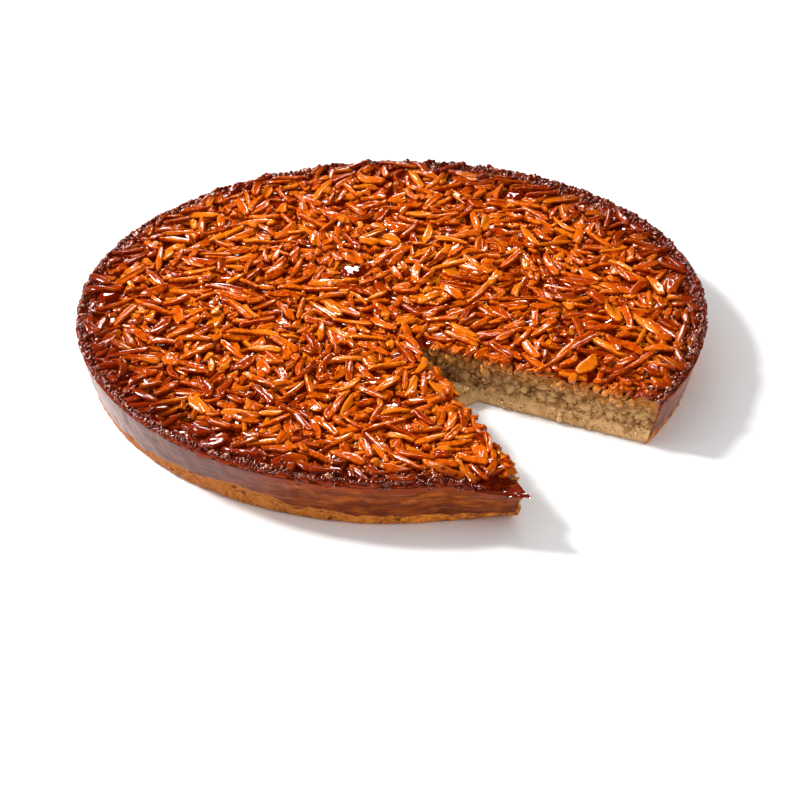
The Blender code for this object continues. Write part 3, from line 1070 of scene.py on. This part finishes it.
def scatter_tree(name, library, material):
    """Nodes that set a shape from the library on every point and join them."""
    tree = bpy.data.node_groups.new(name, "GeometryNodeTree")
    for label, way, kind in (
        ("Geometry", "INPUT", "NodeSocketGeometry"),
        ("Scale", "INPUT", "NodeSocketFloat"),
        ("Geometry", "OUTPUT", "NodeSocketGeometry"),
    ):
        tree.interface.new_socket(label, in_out=way, socket_type=kind)
    source, result = (tree.nodes.new(f"NodeGroup{end}") for end in ("Input", "Output"))
    add = Wiring(tree).node

    def named(label, kind):
        return add("GeometryNodeInputNamedAttribute", {"Name": label}, "Attribute", data_type=kind)

    inputs = {"Collection": library, "Separate Children": True, "Reset Children": True}
    shapes = add("GeometryNodeCollectionInfo", inputs)
    turned = add("FunctionNodeEulerToRotation", {0: named("turned", "FLOAT_VECTOR")})
    inputs = {0: named("sized", "FLOAT_VECTOR"), "Scale": source.outputs["Scale"]}
    sized = add("ShaderNodeVectorMath", inputs, operation="SCALE")
    inputs = {
        "Points": source.outputs["Geometry"],
        "Instance": shapes,
        "Pick Instance": True,
        "Instance Index": named("shape", "INT"),
        "Rotation": turned,
        "Scale": sized,
    }
    joined = add("GeometryNodeRealizeInstances", {0: add("GeometryNodeInstanceOnPoints", inputs)})
    painted = add("GeometryNodeSetMaterial", {"Geometry": joined, "Material": material})
    tree.links.new(painted, result.inputs[0])
    return tree


def scatter(name, spots, turned, sized, shapes, tints, library, material):
    """A piece made of library shapes at the spots, as one plain mesh."""
    points = bpy.data.meshes.new(f"{name}_points")
    points.from_pydata(np.asarray(spots).tolist(), [], [])
    set_attribute(points, "turned", turned, "FLOAT_VECTOR")
    set_attribute(points, "sized", sized, "FLOAT_VECTOR")
    set_attribute(points, "shape", shapes, "INT")
    set_attribute(points, "tint", tints)
    carrier = bpy.data.objects.new(f"{name}_carrier", points)
    bpy.context.scene.collection.objects.link(carrier)
    tree = scatter_tree(f"{name}_nodes", library, material)
    modifier = carrier.modifiers.new("scatter", "NODES")
    modifier.node_group = tree
    for item in tree.interface.items_tree:
        if item.name == "Scale":
            modifier[item.identifier] = 1.0
    graph = bpy.context.evaluated_depsgraph_get()
    mesh = bpy.data.meshes.new_from_object(carrier.evaluated_get(graph))
    mesh.name = name
    bpy.data.objects.remove(carrier, do_unlink=True)
    for label in ("turned", "sized", "shape"):
        if label in mesh.attributes:
            mesh.attributes.remove(mesh.attributes[label])
    mesh.shade_smooth()
    piece = bpy.data.objects.new(name, mesh)
    bpy.context.scene.collection.objects.link(piece)
    return piece


def draw_sizes(draw, middle, uneven, span, count):
    """Sizes spread about a middle one, inside the span."""
    return np.clip(draw.lognormal(math.log(middle), uneven, count), *span)


def scatter_chunks(name, draw, spots, size, squash, kinds, material):
    """Broken bits of those sizes, each squashed and turned its own way.

    `kinds` holds the first kind of chunk and the number of kinds."""
    first, variety = kinds
    count = len(spots)
    sized = size[:, None] * draw.uniform(*squash, (count, 3))
    turned = draw.uniform(0.0, TURN, (count, 3))
    library = shape_library(f"{name}_chunk", lambda index: chunk_shape(first + index), variety)
    shapes = draw.integers(0, variety, count)
    return scatter(name, spots, turned, sized, shapes, draw.random(count), library, material)


def dress_topping(piece, ground, *replaced):
    """The attributes that almonds in the topping are coloured by, then the frame."""
    x, y, z = vertex_array(piece.data).T
    # Painted shade: how deep each point lies below the crests, which darkens it.
    depth = ground.at(x, y, ground.crests) - 0.3 * MM - z
    set_attribute(piece.data, "sunk", np.clip(depth / (3.4 * MM), 0.0, 1.0))
    leeward = (x * math.cos(DARK_SIDE) + y * math.sin(DARK_SIDE)) / RIM_RADIUS
    browned = 0.75 * np.clip(leeward - 0.35, 0.0, 1.0)
    set_attribute(piece.data, "rim", np.clip(rim_share(x, y, 2.2) + browned, 0.0, 1.0))
    low = np.clip((TOPPING_FOOT + 5.5 * MM - z) / (4.0 * MM), 0.0, 1.0)
    at_cut = np.clip(1.3 - cut_distance(x, y) / (2.5 * MM), 0.0, 1.0)
    away = np.clip((wall_distance(x, y) - 4 * MM) / (6 * MM), 0.0, 1.0)
    set_attribute(piece.data, "bare", low * at_cut * away)
    dress(piece, "caramelised_almond", *replaced)


def make_slivers():
    """Every almond on top, laid and joined by kind. Returns the map of their tops."""
    given = settings().slivers
    ground = HeightMap()
    ground.top = base_height(ground.x, ground.y)
    pools = pool_share(ground.x, ground.y)
    ground.top = np.where(pools > 0.3, TOPPING_CREST, ground.top)
    laid = lay_slivers(ground)
    ground.top = np.where(pools > 0.3, POOL_LEVEL, ground.top)
    laid = np.concatenate([laid, cut_ends()])
    ground.settle()
    material = almond_material()
    library = shape_library("sliver", sliver_shape, 20)
    nominal = np.array([
        (given.length * kind[2], given.width * kind[3], given.thickness * kind[4])
        for kind in KINDS
    ])
    below = ground.at(laid[:, 0], laid[:, 1], ground.crests) - laid[:, 2] - laid[:, 8]
    at_cut = cut_distance(laid[:, 0], laid[:, 1]) < 10 * MM
    shown = (below < 1.8 * MM) | at_cut
    groups = [("almonds_buried", ~shown & (below < 3.4 * MM), ["almond_topping"])]
    for index, kind in enumerate(KINDS):
        groups.append((f"almonds_{kind[0]}", shown & (laid[:, 9] == index), []))
    for name, chosen, replaced in groups:
        rows = laid[chosen]
        turned = np.column_stack([rows[:, 5], -np.arctan(rows[:, 4]), rows[:, 3]])
        sized = rows[:, 6:9] / nominal[rows[:, 9].astype(int)]
        piece = scatter(
            name, rows[:, :3], turned, sized, rows[:, 10], rows[:, 11], library, material
        )
        dress_topping(piece, ground, *replaced)
    make_bits(ground, material)
    return ground


def make_bits(ground, material):
    """Small broken bits of almond caught between the slivers."""
    draw = np.random.default_rng(71)
    x, y = strewn(draw, 9000, 2.0 * MM)
    level = ground.at(x, y, ground.crests)
    keep = (edge_distance(x, y) > 1.5 * MM) & (pool_share(x, y) < 0.1)
    keep &= ground.at(x, y) < level + 0.3 * MM
    chosen = np.flatnonzero(keep)[: settings().slivers.bits]
    count = len(chosen)
    size = draw_sizes(draw, 2.0 * MM, 0.35, (0.9 * MM, 3.6 * MM), count)
    height = level[chosen] - 0.35 * size + draw.uniform(-0.7, 0.3, count) * MM
    height = np.minimum(height, TOPPING_CREST - 0.6 * size - 0.2 * MM)
    spots = np.column_stack([x[chosen], y[chosen], height])
    piece = scatter_chunks("almond_bits", draw, spots, size, (0.6, 1.3), (40, 8), material)
    dress_topping(piece, ground)


def cut_ends(seed=29):
    """Slivers the knife went through, lying in the two cut faces."""
    given = settings().slivers
    draw = np.random.default_rng(seed)
    count = 150
    spots, outward = cut_spots(
        draw, count, TOPPING_FOOT - 1.5 * MM, CARAMEL_TOP + 0.6 * MM, spare=(11 * MM, 11 * MM)
    )
    kind = len(KINDS) - 1
    length = given.length * KINDS[kind][2] * draw.uniform(0.5, 1.2, count)
    width = given.width * draw.uniform(0.7, 1.1, count)
    thickness = given.thickness * draw.uniform(0.75, 1.15, count)
    spots[:, :2] -= outward * (0.25 * length - draw.uniform(0.2, 1.3, count) * MM)[:, None]
    facing = np.arctan2(outward[:, 1], outward[:, 0])
    turn = facing + draw.normal(0.0, 0.7, count)
    slope = np.tan(draw.normal(-0.25, 0.35, count))
    return np.column_stack([
        spots, turn, slope, draw.normal(0.0, 0.5, count), length, width, thickness,
        np.full(count, kind), draw.choice(list(KINDS[kind][6]), count), draw.random(count),
    ])


# ----------------------------------------------------------------- caramel


def caramel_surface(ground, x, y):
    """The top of the caramel between the almonds, flat where it stands in pools."""
    pool = np.clip(0.5 + 1.1 * over_plan(wander, x, y, 13 * MM, 2), 0.0, 1.0)
    shallow = settings().caramel.depth * (1.25 - 0.9 * pool**2)
    close, broad = (ground.at(x, y, smoothed) for smoothed in (ground.close, ground.broad))
    level = np.maximum(close - shallow, broad - 1.2 * shallow)
    still = pool_share(x, y)
    return level * (1.0 - still) + POOL_LEVEL * still


def with_rim(x, y, level):
    """The caramel's level raised to the crown of the rim and rounded over at the wall."""
    share = rim_share(x, y)
    lip = share * share * (3.0 - 2.0 * share)
    lumpy = over_plan(wander, x, y, 7 * MM, 2)
    crown = np.maximum(level, CARAMEL_TOP + 1.5 * MM) + 1.3 * MM * lumpy
    brow = np.clip(1.0 - wall_distance(x, y) / (2.2 * MM), 0.0, 1.0)
    return level * (1.0 - lip) + crown * lip - 1.3 * MM * brow**2, lip


def caramel_top(ground, rows, columns):
    """The slab's upper side: rows of points, from the apex outwards to the wall."""
    direction = np.linspace(FAR_CUT - TURN, NEAR_CUT, columns)
    run = reach_from_apex(direction, CARAMEL_TOP) - 0.8 * MM
    share = np.linspace(0.0, 1.0, rows) ** 0.8
    ahead = heading(direction)
    x, y = (APEX[axis] + ahead[:, axis] * run * share[:, None] for axis in (0, 1))
    level, lip = with_rim(x, y, caramel_surface(ground, x, y))
    level += lip * (1.1 * MM * over_plan(clods, x, y, 2.3 * MM) - 0.7 * MM)
    level -= POINT_DIP * np.clip((np.hypot(x, y) - POINT_ROOT) / POINT_REACH, 0.0, 1.0)
    level = np.clip(level, TOPPING_FOOT + 1.4 * MM, TOPPING_CREST - 0.4 * MM)
    return np.stack([x, y, level], -1)


def caramel_skirt(border, is_wall, outward, steps):
    """Rings from the slab's border down to its foot, with drips at the wall."""
    rings = []
    wall_angle = np.arctan2(border[:, 1], border[:, 0])
    drip = np.clip(0.26 + 0.55 * wander(border, 4 * MM, 3), 0.06, 0.9)
    whole = np.clip(wall_distance(border[:, 0], border[:, 1]) / (6 * MM), 0.0, 1.0)
    from_apex = np.maximum(np.hypot(*(border[:, :2] - APEX).T), 1e-6)
    bearing = np.arctan2(border[:, 1] - APEX[1], border[:, 0] - APEX[0])
    for step in range(1, steps + 1):
        fall = step / steps
        height = border[:, 2] * (1 - fall) + TOPPING_FOOT * fall
        ring = border.copy()
        ring[:, 2] = height
        reach = wall_radius(wall_angle, height)
        ring[is_wall, :2] = (heading(wall_angle) * reach[:, None])[is_wall]
        short = np.minimum(reach_from_apex(bearing, height) / from_apex, 1.0)
        pulled = APEX + (border[:, :2] - APEX) * short[:, None]
        ring[~is_wall, :2] = pulled[~is_wall]
        ragged = 1.1 * MM * (clods(ring, 3.4 * MM) - 0.75) * whole
        hung = np.clip((drip - fall) / 0.15 + 0.5, 0.0, 1.0)
        swell = 0.05 * MM + 0.35 * MM * np.sin(math.pi * np.clip(fall / drip, 0.0, 1.0))
        drips = wall_relief(ring) - 1.8 * SKIN + (1.8 * SKIN + swell) * hung
        ring[:, :2] += outward * np.where(is_wall, drips, ragged)[:, None]
        rings.append(ring)
    return rings


def make_caramel(ground):
    """A slab from the filling up, its top rising between the almonds and at the rim."""
    rows, columns, steps = 112, 720, 12
    top = caramel_top(ground, rows, columns)
    # All of the first row is the apex, so one vertex stands for it.
    upper = np.concatenate([top[0, :1], top[1:].reshape(-1, 3)])
    faces = [(0, 1 + column, 2 + column) for column in range(columns - 1)]
    faces += grid_faces(rows - 1, columns, first=1, flipped=True)
    outer = len(upper) - columns
    edge = [0, *range(1, outer, columns), *range(outer, len(upper))]
    edge += range(outer - 1, columns - 1, -columns)
    count, done = len(edge), len(upper)
    border = upper[edge]
    is_wall = np.zeros(count, dtype=bool)
    is_wall[rows - 1 : rows - 1 + columns] = True
    outward = np.zeros((count, 2))
    outward[is_wall] = border[is_wall][:, :2] / np.hypot(*border[is_wall][:, :2].T)[:, None]
    outward[: rows - 1] = heading(FAR_CUT - math.pi / 2)
    outward[rows - 1 + columns :] = heading(NEAR_CUT + math.pi / 2)
    rings = caramel_skirt(border, is_wall, outward, steps)
    calm = border.copy()
    calm[:, :2] = HEART + (border[:, :2] - HEART) * 0.9
    calm[:, 2] = TOPPING_FOOT
    for i in range(count):
        j = (i + 1) % count
        faces.append((edge[i], done + i, done + j, edge[j]))
    faces += grid_faces(steps + 1, count, first=done, ring=True, flipped=True)
    points = np.concatenate([upper, *rings, calm])
    piece = mesh_object("caramel_slab", points, faces, caramel_material())
    close_rings(piece.data, range(done + steps * count, done + (steps + 1) * count))
    is_inner = np.hypot(border[:, 0], border[:, 1]) < RIM_RADIUS - 5 * MM
    cut_shares = [~is_wall * is_inner * min(1.0, step / 2) for step in range(1, steps + 2)]
    set_attribute(piece.data, "inside", np.concatenate([np.zeros(done), *cut_shares]))
    side = np.concatenate([np.zeros(done), np.tile(is_wall, steps + 1)])
    set_attribute(piece.data, "side", side)
    drawn_out = np.clip((np.hypot(*points[:, :2].T) - RIM_RADIUS) / (4 * MM) + 1.5, 0.0, 1.0)
    drawn_out *= np.clip(2.5 * point_share(np.arctan2(points[:, 1], points[:, 0])), 0.0, 1.0)
    set_attribute(piece.data, "rim", rim_share(points[:, 0], points[:, 1]) + drawn_out)
    dress(piece, "caramelised_almond")


def hull_shape(points):
    """The closed hull of a few points."""
    body = bmesh.new()
    for point in points:
        body.verts.new(point)
    bmesh.ops.convex_hull(body, input=body.verts)
    loose = [vertex for vertex in body.verts if not vertex.link_faces]
    bmesh.ops.delete(body, geom=loose, context="VERTS")
    body.verts.index_update()
    vertices = np.array([vertex.co for vertex in body.verts])
    faces = [tuple(vertex.index for vertex in face.verts) for face in body.faces]
    body.free()
    return vertices, faces


# The first shapes of bead have more faces than the rest, which are for small ones.
BIG_BEADS = 4


def bead_shape(index):
    """A set bubble, a unit across: points spread evenly over a slightly uneven ball."""
    draw = np.random.default_rng(300 + index)
    count = 20 if index < BIG_BEADS else 12
    rise = 1.0 - 2.0 * (np.arange(count) + 0.5) / count
    turn = np.arange(count) * math.pi * (3.0 - math.sqrt(5.0))
    around = np.sqrt(1.0 - rise**2)
    ball = np.stack([around * np.cos(turn), around * np.sin(turn), rise], -1)
    return hull_shape(0.5 * ball * (1.0 + 0.08 * draw.standard_normal(3)))


def dress_rim(piece, reach=1.0):
    """The attribute that darkens caramel towards the rim, then the frame."""
    x, y, _ = vertex_array(piece.data).T
    set_attribute(piece.data, "rim", rim_share(x, y, reach))
    dress(piece, "caramelised_almond")


def make_beads(ground):
    """Set bubbles of caramel, thick along the rim and fewer inwards, some over its edge."""
    wanted = settings().caramel.beads
    draw = np.random.default_rng(23)
    tried = 5 * wanted
    angle = draw.uniform(0.0, TURN, tried)
    inset = 17.0 * MM * draw.random(tried) ** 1.2
    size = draw_sizes(draw, 1.0 * MM, 0.50, (0.45 * MM, 3.4 * MM), tried)
    radius = wall_radius(angle, CARAMEL_TOP) - np.maximum(inset, 0.55 * size + 0.1 * MM)
    x, y = around(radius, angle)
    keep = (cut_distance(x, y) > 0.5 * MM) & (radius < POINT_ROOT + 3 * MM)
    keep &= (ground.at(x, y) < CARAMEL_TOP + 3.6 * MM) & (pool_share(x, y) < 0.1)
    keep &= draw.random(tried) < rim_share(x, y) ** 0.8
    chosen = np.flatnonzero(keep)[:wanted]
    x, y, size = x[chosen], y[chosen], size[chosen]
    level, _ = with_rim(x, y, caramel_surface(ground, x, y))
    over = draw.random(len(x)) < 0.7
    level = np.where(over, np.maximum(level, ground.at(x, y) - 0.5 * MM), level)
    level = np.minimum(level, TOPPING_CREST - 0.7 * size - 0.2 * MM)
    hung_count = 900
    hung = draw.uniform(*wall_span(CARAMEL_TOP, FILLING_TOP), hung_count)
    low = CARAMEL_TOP - 3.2 * MM * draw.random(hung_count) ** 1.5
    low_size = draw.uniform(0.7, 1.5, hung_count) * MM
    out = wall_radius(hung, low) - 0.35 * low_size
    free = point_share(hung) < 0.35
    over_edge = np.column_stack([*around(out, hung), low])[free]
    spots = np.concatenate([np.column_stack([x, y, level]), over_edge])
    size = np.concatenate([size, low_size[free]])
    count = len(size)
    turned = draw.uniform(0.0, TURN, (count, 3))
    sized = size[:, None] * draw.uniform(0.75, 1.25, (count, 3))
    tints = draw.random(count)
    library = shape_library("bead", bead_shape, 2 * BIG_BEADS)
    material = caramel_material()
    big = size > 1.15 * MM
    for name, picked, first in (("caramel_beads", big, 0), ("caramel_froth", ~big, BIG_BEADS)):
        shapes = draw.integers(first, first + BIG_BEADS, int(picked.sum()))
        piece = scatter(
            name, spots[picked], turned[picked], sized[picked], shapes, tints[picked],
            library, material,
        )
        dress_rim(piece)
    make_crags(ground, material)


def make_crags(ground, material):
    """Crags of burnt caramel that stand up out of the rim."""
    draw = np.random.default_rng(37)
    tried = 2600
    angle = draw.uniform(0.0, TURN, tried)
    size = draw_sizes(draw, 2.3 * MM, 0.35, (1.2 * MM, 4.2 * MM), tried)
    hot = np.clip(np.cos(angle - HOT_SIDE), 0.0, None)
    inset = 0.55 * size + 0.2 * MM - 1.0 * MM * hot + 14.0 * MM * draw.random(tried) ** 1.6
    radius = wall_radius(angle, CARAMEL_TOP) - inset
    x, y = around(radius, angle)
    keep = (cut_distance(x, y) > 1.0 * MM) & (radius < POINT_ROOT) & (pool_share(x, y) < 0.1)
    keep &= draw.random(tried) < rim_share(x, y)
    x, y, size = x[keep], y[keep], size[keep]
    level, _ = with_rim(x, y, caramel_surface(ground, x, y))
    level = np.minimum(level + 0.1 * size, TOPPING_CREST - 0.6 * size - 0.2 * MM)
    spots = np.column_stack([x, y, level])
    piece = scatter_chunks("caramel_crags", draw, spots, size, (0.6, 1.2), (80, 8), material)
    dress_rim(piece, 1.5)


# ------------------------------------------------------------------ crumbs


def chunk_shape(index):
    """A broken bit: the hull of a few points at uneven distances."""
    draw = np.random.default_rng(500 + index)
    points = draw.standard_normal((17, 3))
    points *= (draw.uniform(0.36, 0.54, 17) / np.linalg.norm(points, axis=1))[:, None]
    return hull_shape(points)


def cut_spots(draw, count, low, high, start=4 * MM, spare=(12 * MM, 3 * MM)):
    """Random places on the two cut faces, with the way out of each."""
    cuts = draw.integers(0, 2, count)
    direction = np.where(cuts == 0, NEAR_CUT, FAR_CUT)
    outward = heading(np.where(cuts == 0, NEAR_CUT + math.pi / 2, FAR_CUT - math.pi / 2))
    height = draw.uniform(low, high, count)
    run = reach_from_apex(direction, np.minimum(height, FILLING_TOP)) - np.where(cuts == 0, *spare)
    along = start + (run - start) * draw.random(count)
    flat = APEX + heading(direction) * along[:, None]
    return np.column_stack([flat, height]), outward


def make_chopped():
    """Chopped almond that shows in the filling where it is cut."""
    draw = np.random.default_rng(41)
    material = chopped_material("chopped_almond", (0.72, 0.43, 0.15), (0.34, 0.15, 0.035))
    count = 700
    spots, outward = cut_spots(draw, count, 4.5 * MM, FILLING_TOP + 1.6 * MM)
    size = draw_sizes(draw, 2.6 * MM, 0.42, (1.0 * MM, 6.0 * MM), count)
    spots[:, :2] += outward * (-0.2 * size + draw.uniform(-0.6, 0.2, count) * MM)[:, None]
    piece = scatter_chunks("chopped_almond", draw, spots, size, (0.55, 1.15), (0, 10), material)
    dress(piece, "almond_paste")


def make_crumbs():
    """Crumbs on the ledge and along the foot of the cuts."""
    bake = settings().bake
    draw = np.random.default_rng(57)
    spots, outward = cut_spots(draw, bake.crumbs, 0.4 * MM, CRUST_TOP, start=24 * MM)
    spots[:, :2] += outward * draw.uniform(-0.3, 0.5, bake.crumbs)[:, None] * MM
    ledge_count = 240
    along = LEDGE_FAR * np.sqrt(draw.random(ledge_count)) * 0.93
    direction = draw.uniform(NEAR_CUT, FAR_CUT, ledge_count)
    flat = APEX + heading(direction) * along[:, None]
    ledge = np.column_stack([flat, CRUST_TOP + draw.uniform(-0.5, 0.1, ledge_count) * MM])
    spots = np.concatenate([spots, ledge])
    size = draw_sizes(draw, 1.3 * MM, 0.4, (0.5 * MM, 3.4 * MM), len(spots))
    spots[:, 2] = np.maximum(spots[:, 2], 0.5 * size)
    material = chopped_material("crumb", tuple(bake.crust_inside), (0.36, 0.18, 0.05))
    piece = scatter_chunks("crumbs", draw, spots, size, (0.6, 1.2), (20, 6), material)
    dress(piece, "crust")


def make_corner():
    """Browned crumbs that cling to the foot of the drawn-out corner."""
    draw = np.random.default_rng(61)
    count = 80
    height = 8.0 * MM * draw.random(count) ** 1.2
    run = reach_from_apex(np.full(count, NEAR_CUT), height)
    run += draw.uniform(-7.0, 0.6, count) * MM
    beside = draw.uniform(-1.5, 1.0, count)[:, None] * MM
    flat = APEX + heading(NEAR_CUT) * run[:, None] + heading(NEAR_CUT + math.pi / 2) * beside
    size = draw_sizes(draw, 1.9 * MM, 0.35, (0.9 * MM, 3.2 * MM), count)
    spots = np.column_stack([flat, np.maximum(height, 0.75 * size)])
    browned = tuple(settings().bake.crust)
    material = chopped_material("browned_crumb", browned, (0.42, 0.11, 0.012))
    piece = scatter_chunks("corner_crumbs", draw, spots, size, (0.6, 1.2), (60, 6), material)
    dress(piece, "crust")


# ------------------------------------------------------------------- stage


def area_light(name, place, target, size, power, colour=(1.0, 1.0, 1.0), mirrored_only=False):
    lamp = bpy.data.lights.new(name, "AREA")
    lamp.shape = "RECTANGLE"
    lamp.size, lamp.size_y = size
    lamp.energy = power
    lamp.color = colour
    holder = bpy.data.objects.new(name, lamp)
    holder.location = place
    way = Vector(target) - Vector(place)
    holder.rotation_euler = way.to_track_quat("-Z", "Y").to_euler()
    holder.visible_camera = False
    holder.visible_diffuse = not mirrored_only
    bpy.context.scene.collection.objects.link(holder)


def make_floor():
    material = Recipe("white_table").finish(Base_Color=(0.9, 0.9, 0.9), Roughness=0.6)
    half, low = 3.0, -0.05 * MM
    corners = [(-half, -half, low), (half, -half, low), (half, half, low), (-half, half, low)]
    mesh_object("table_top", corners, [(0, 1, 2, 3)], material)


def make_lights():
    """A key from the left, a softbox behind that the glaze mirrors, a pale surround."""
    turn = Matrix.Rotation(settings().studio.azimuth, 3, "Z")

    def seen(x, y, z):
        """From the camera's own left, depth and height to the tart's frame."""
        return turn @ Vector((x, y, z))

    middle = (0.0, 0.0, 0.0)
    white, warm = (1.0, 0.985, 0.97), (1.0, 0.98, 0.96)
    area_light("key", seen(-1.25, 0.50, 1.24), middle, (0.36, 0.36), 48.0, white)
    area_light("softbox", seen(-0.12, 1.95, 1.10), middle, (0.58, 0.24), 9.5, warm, True)
    area_light("panel", seen(-0.5, 1.9, 1.5), middle, (1.5, 0.8), 0.18, warm, True)
    area_light("side", seen(-1.5, -0.3, 0.7), middle, (0.25, 0.4), 2.0)
    world = bpy.data.worlds.new("white_surround")
    world.use_nodes = True
    world.node_tree.nodes["Background"].inputs["Color"].default_value = (1, 1, 1, 1)
    world.node_tree.nodes["Background"].inputs["Strength"].default_value = 0.80
    world.cycles_visibility.glossy = False
    bpy.context.scene.world = world


def make_camera():
    studio = settings().studio
    lens = bpy.data.cameras.new("studio_view")
    lens.lens = studio.lens
    lens.sensor_width = 36.0
    camera = bpy.data.objects.new("studio_view", lens)
    turn = Matrix.Rotation(studio.azimuth, 3, "Z")
    target = turn @ Vector((1.7 * MM, -40.1 * MM, 0.0))
    back = turn @ Vector((0.0, -math.cos(studio.elevation), math.sin(studio.elevation)))
    camera.location = target + back * studio.distance
    look = back.to_track_quat("Z", "Y").to_matrix()
    camera.rotation_euler = (look @ Matrix.Rotation(studio.roll, 3, "Z")).to_euler()
    bpy.context.scene.collection.objects.link(camera)
    bpy.context.scene.camera = camera


# --------------------------------------------------------------- operators


class TART_OT_crust(Operator):
    """Bake the shortcrust base and the browned side"""

    bl_idname = "almond_tart.crust"
    bl_label = "Crust"

    def execute(self, context):
        make_crust()
        make_side()
        return {"FINISHED"}


class TART_OT_filling(Operator):
    """Fill the tart and show the filling at the cuts"""

    bl_idname = "almond_tart.filling"
    bl_label = "Filling"

    def execute(self, context):
        make_filling()
        make_chopped()
        return {"FINISHED"}


class TART_OT_topping(Operator):
    """Lay the almonds and pour the caramel round them"""

    bl_idname = "almond_tart.topping"
    bl_label = "Almonds and caramel"

    def execute(self, context):
        ground = make_slivers()
        make_caramel(ground)
        make_beads(ground)
        return {"FINISHED"}


class TART_OT_crumbs(Operator):
    """Drop the crumbs that cutting leaves"""

    bl_idname = "almond_tart.crumbs"
    bl_label = "Crumbs"

    def execute(self, context):
        make_crumbs()
        make_corner()
        return {"FINISHED"}


class TART_OT_stage(Operator):
    """Set up the table, the lights and the camera"""

    bl_idname = "almond_tart.stage"
    bl_label = "Stage"

    def execute(self, context):
        make_floor()
        make_lights()
        make_camera()
        context.scene.view_settings.view_transform = "Standard"
        return {"FINISHED"}


class TART_PT_panel(Panel):
    """Every step of the tart, in order"""

    bl_idname = "TART_PT_panel"
    bl_label = "Almond tart"
    bl_space_type = "VIEW_3D"
    bl_region_type = "UI"
    bl_category = "Almond tart"

    def draw(self, context):
        tart = context.scene.almond_tart
        for group in (tart.slivers, tart.caramel, tart.bake, tart.studio):
            box = self.layout.box()
            for key in group.__annotations__:
                box.prop(group, key)
        for step in STEPS:
            self.layout.operator(step.bl_idname)


STEPS = (TART_OT_stage, TART_OT_crust, TART_OT_filling, TART_OT_topping, TART_OT_crumbs)
GROUPS = (TartSlivers, TartCaramel, TartBake, TartStudio, TartSettings)


def register():
    for kind in (*GROUPS, *STEPS, TART_PT_panel):
        bpy.utils.register_class(kind)
    bpy.types.Scene.almond_tart = PointerProperty(type=TartSettings)


def unregister():
    del bpy.types.Scene.almond_tart
    for kind in reversed((*GROUPS, *STEPS, TART_PT_panel)):
        bpy.utils.unregister_class(kind)


def main():
    register()
    bpy.ops.almond_tart.stage()
    bpy.ops.almond_tart.crust()
    bpy.ops.almond_tart.filling()
    bpy.ops.almond_tart.topping()
    bpy.ops.almond_tart.crumbs()


if __name__ == "__main__":
    main()
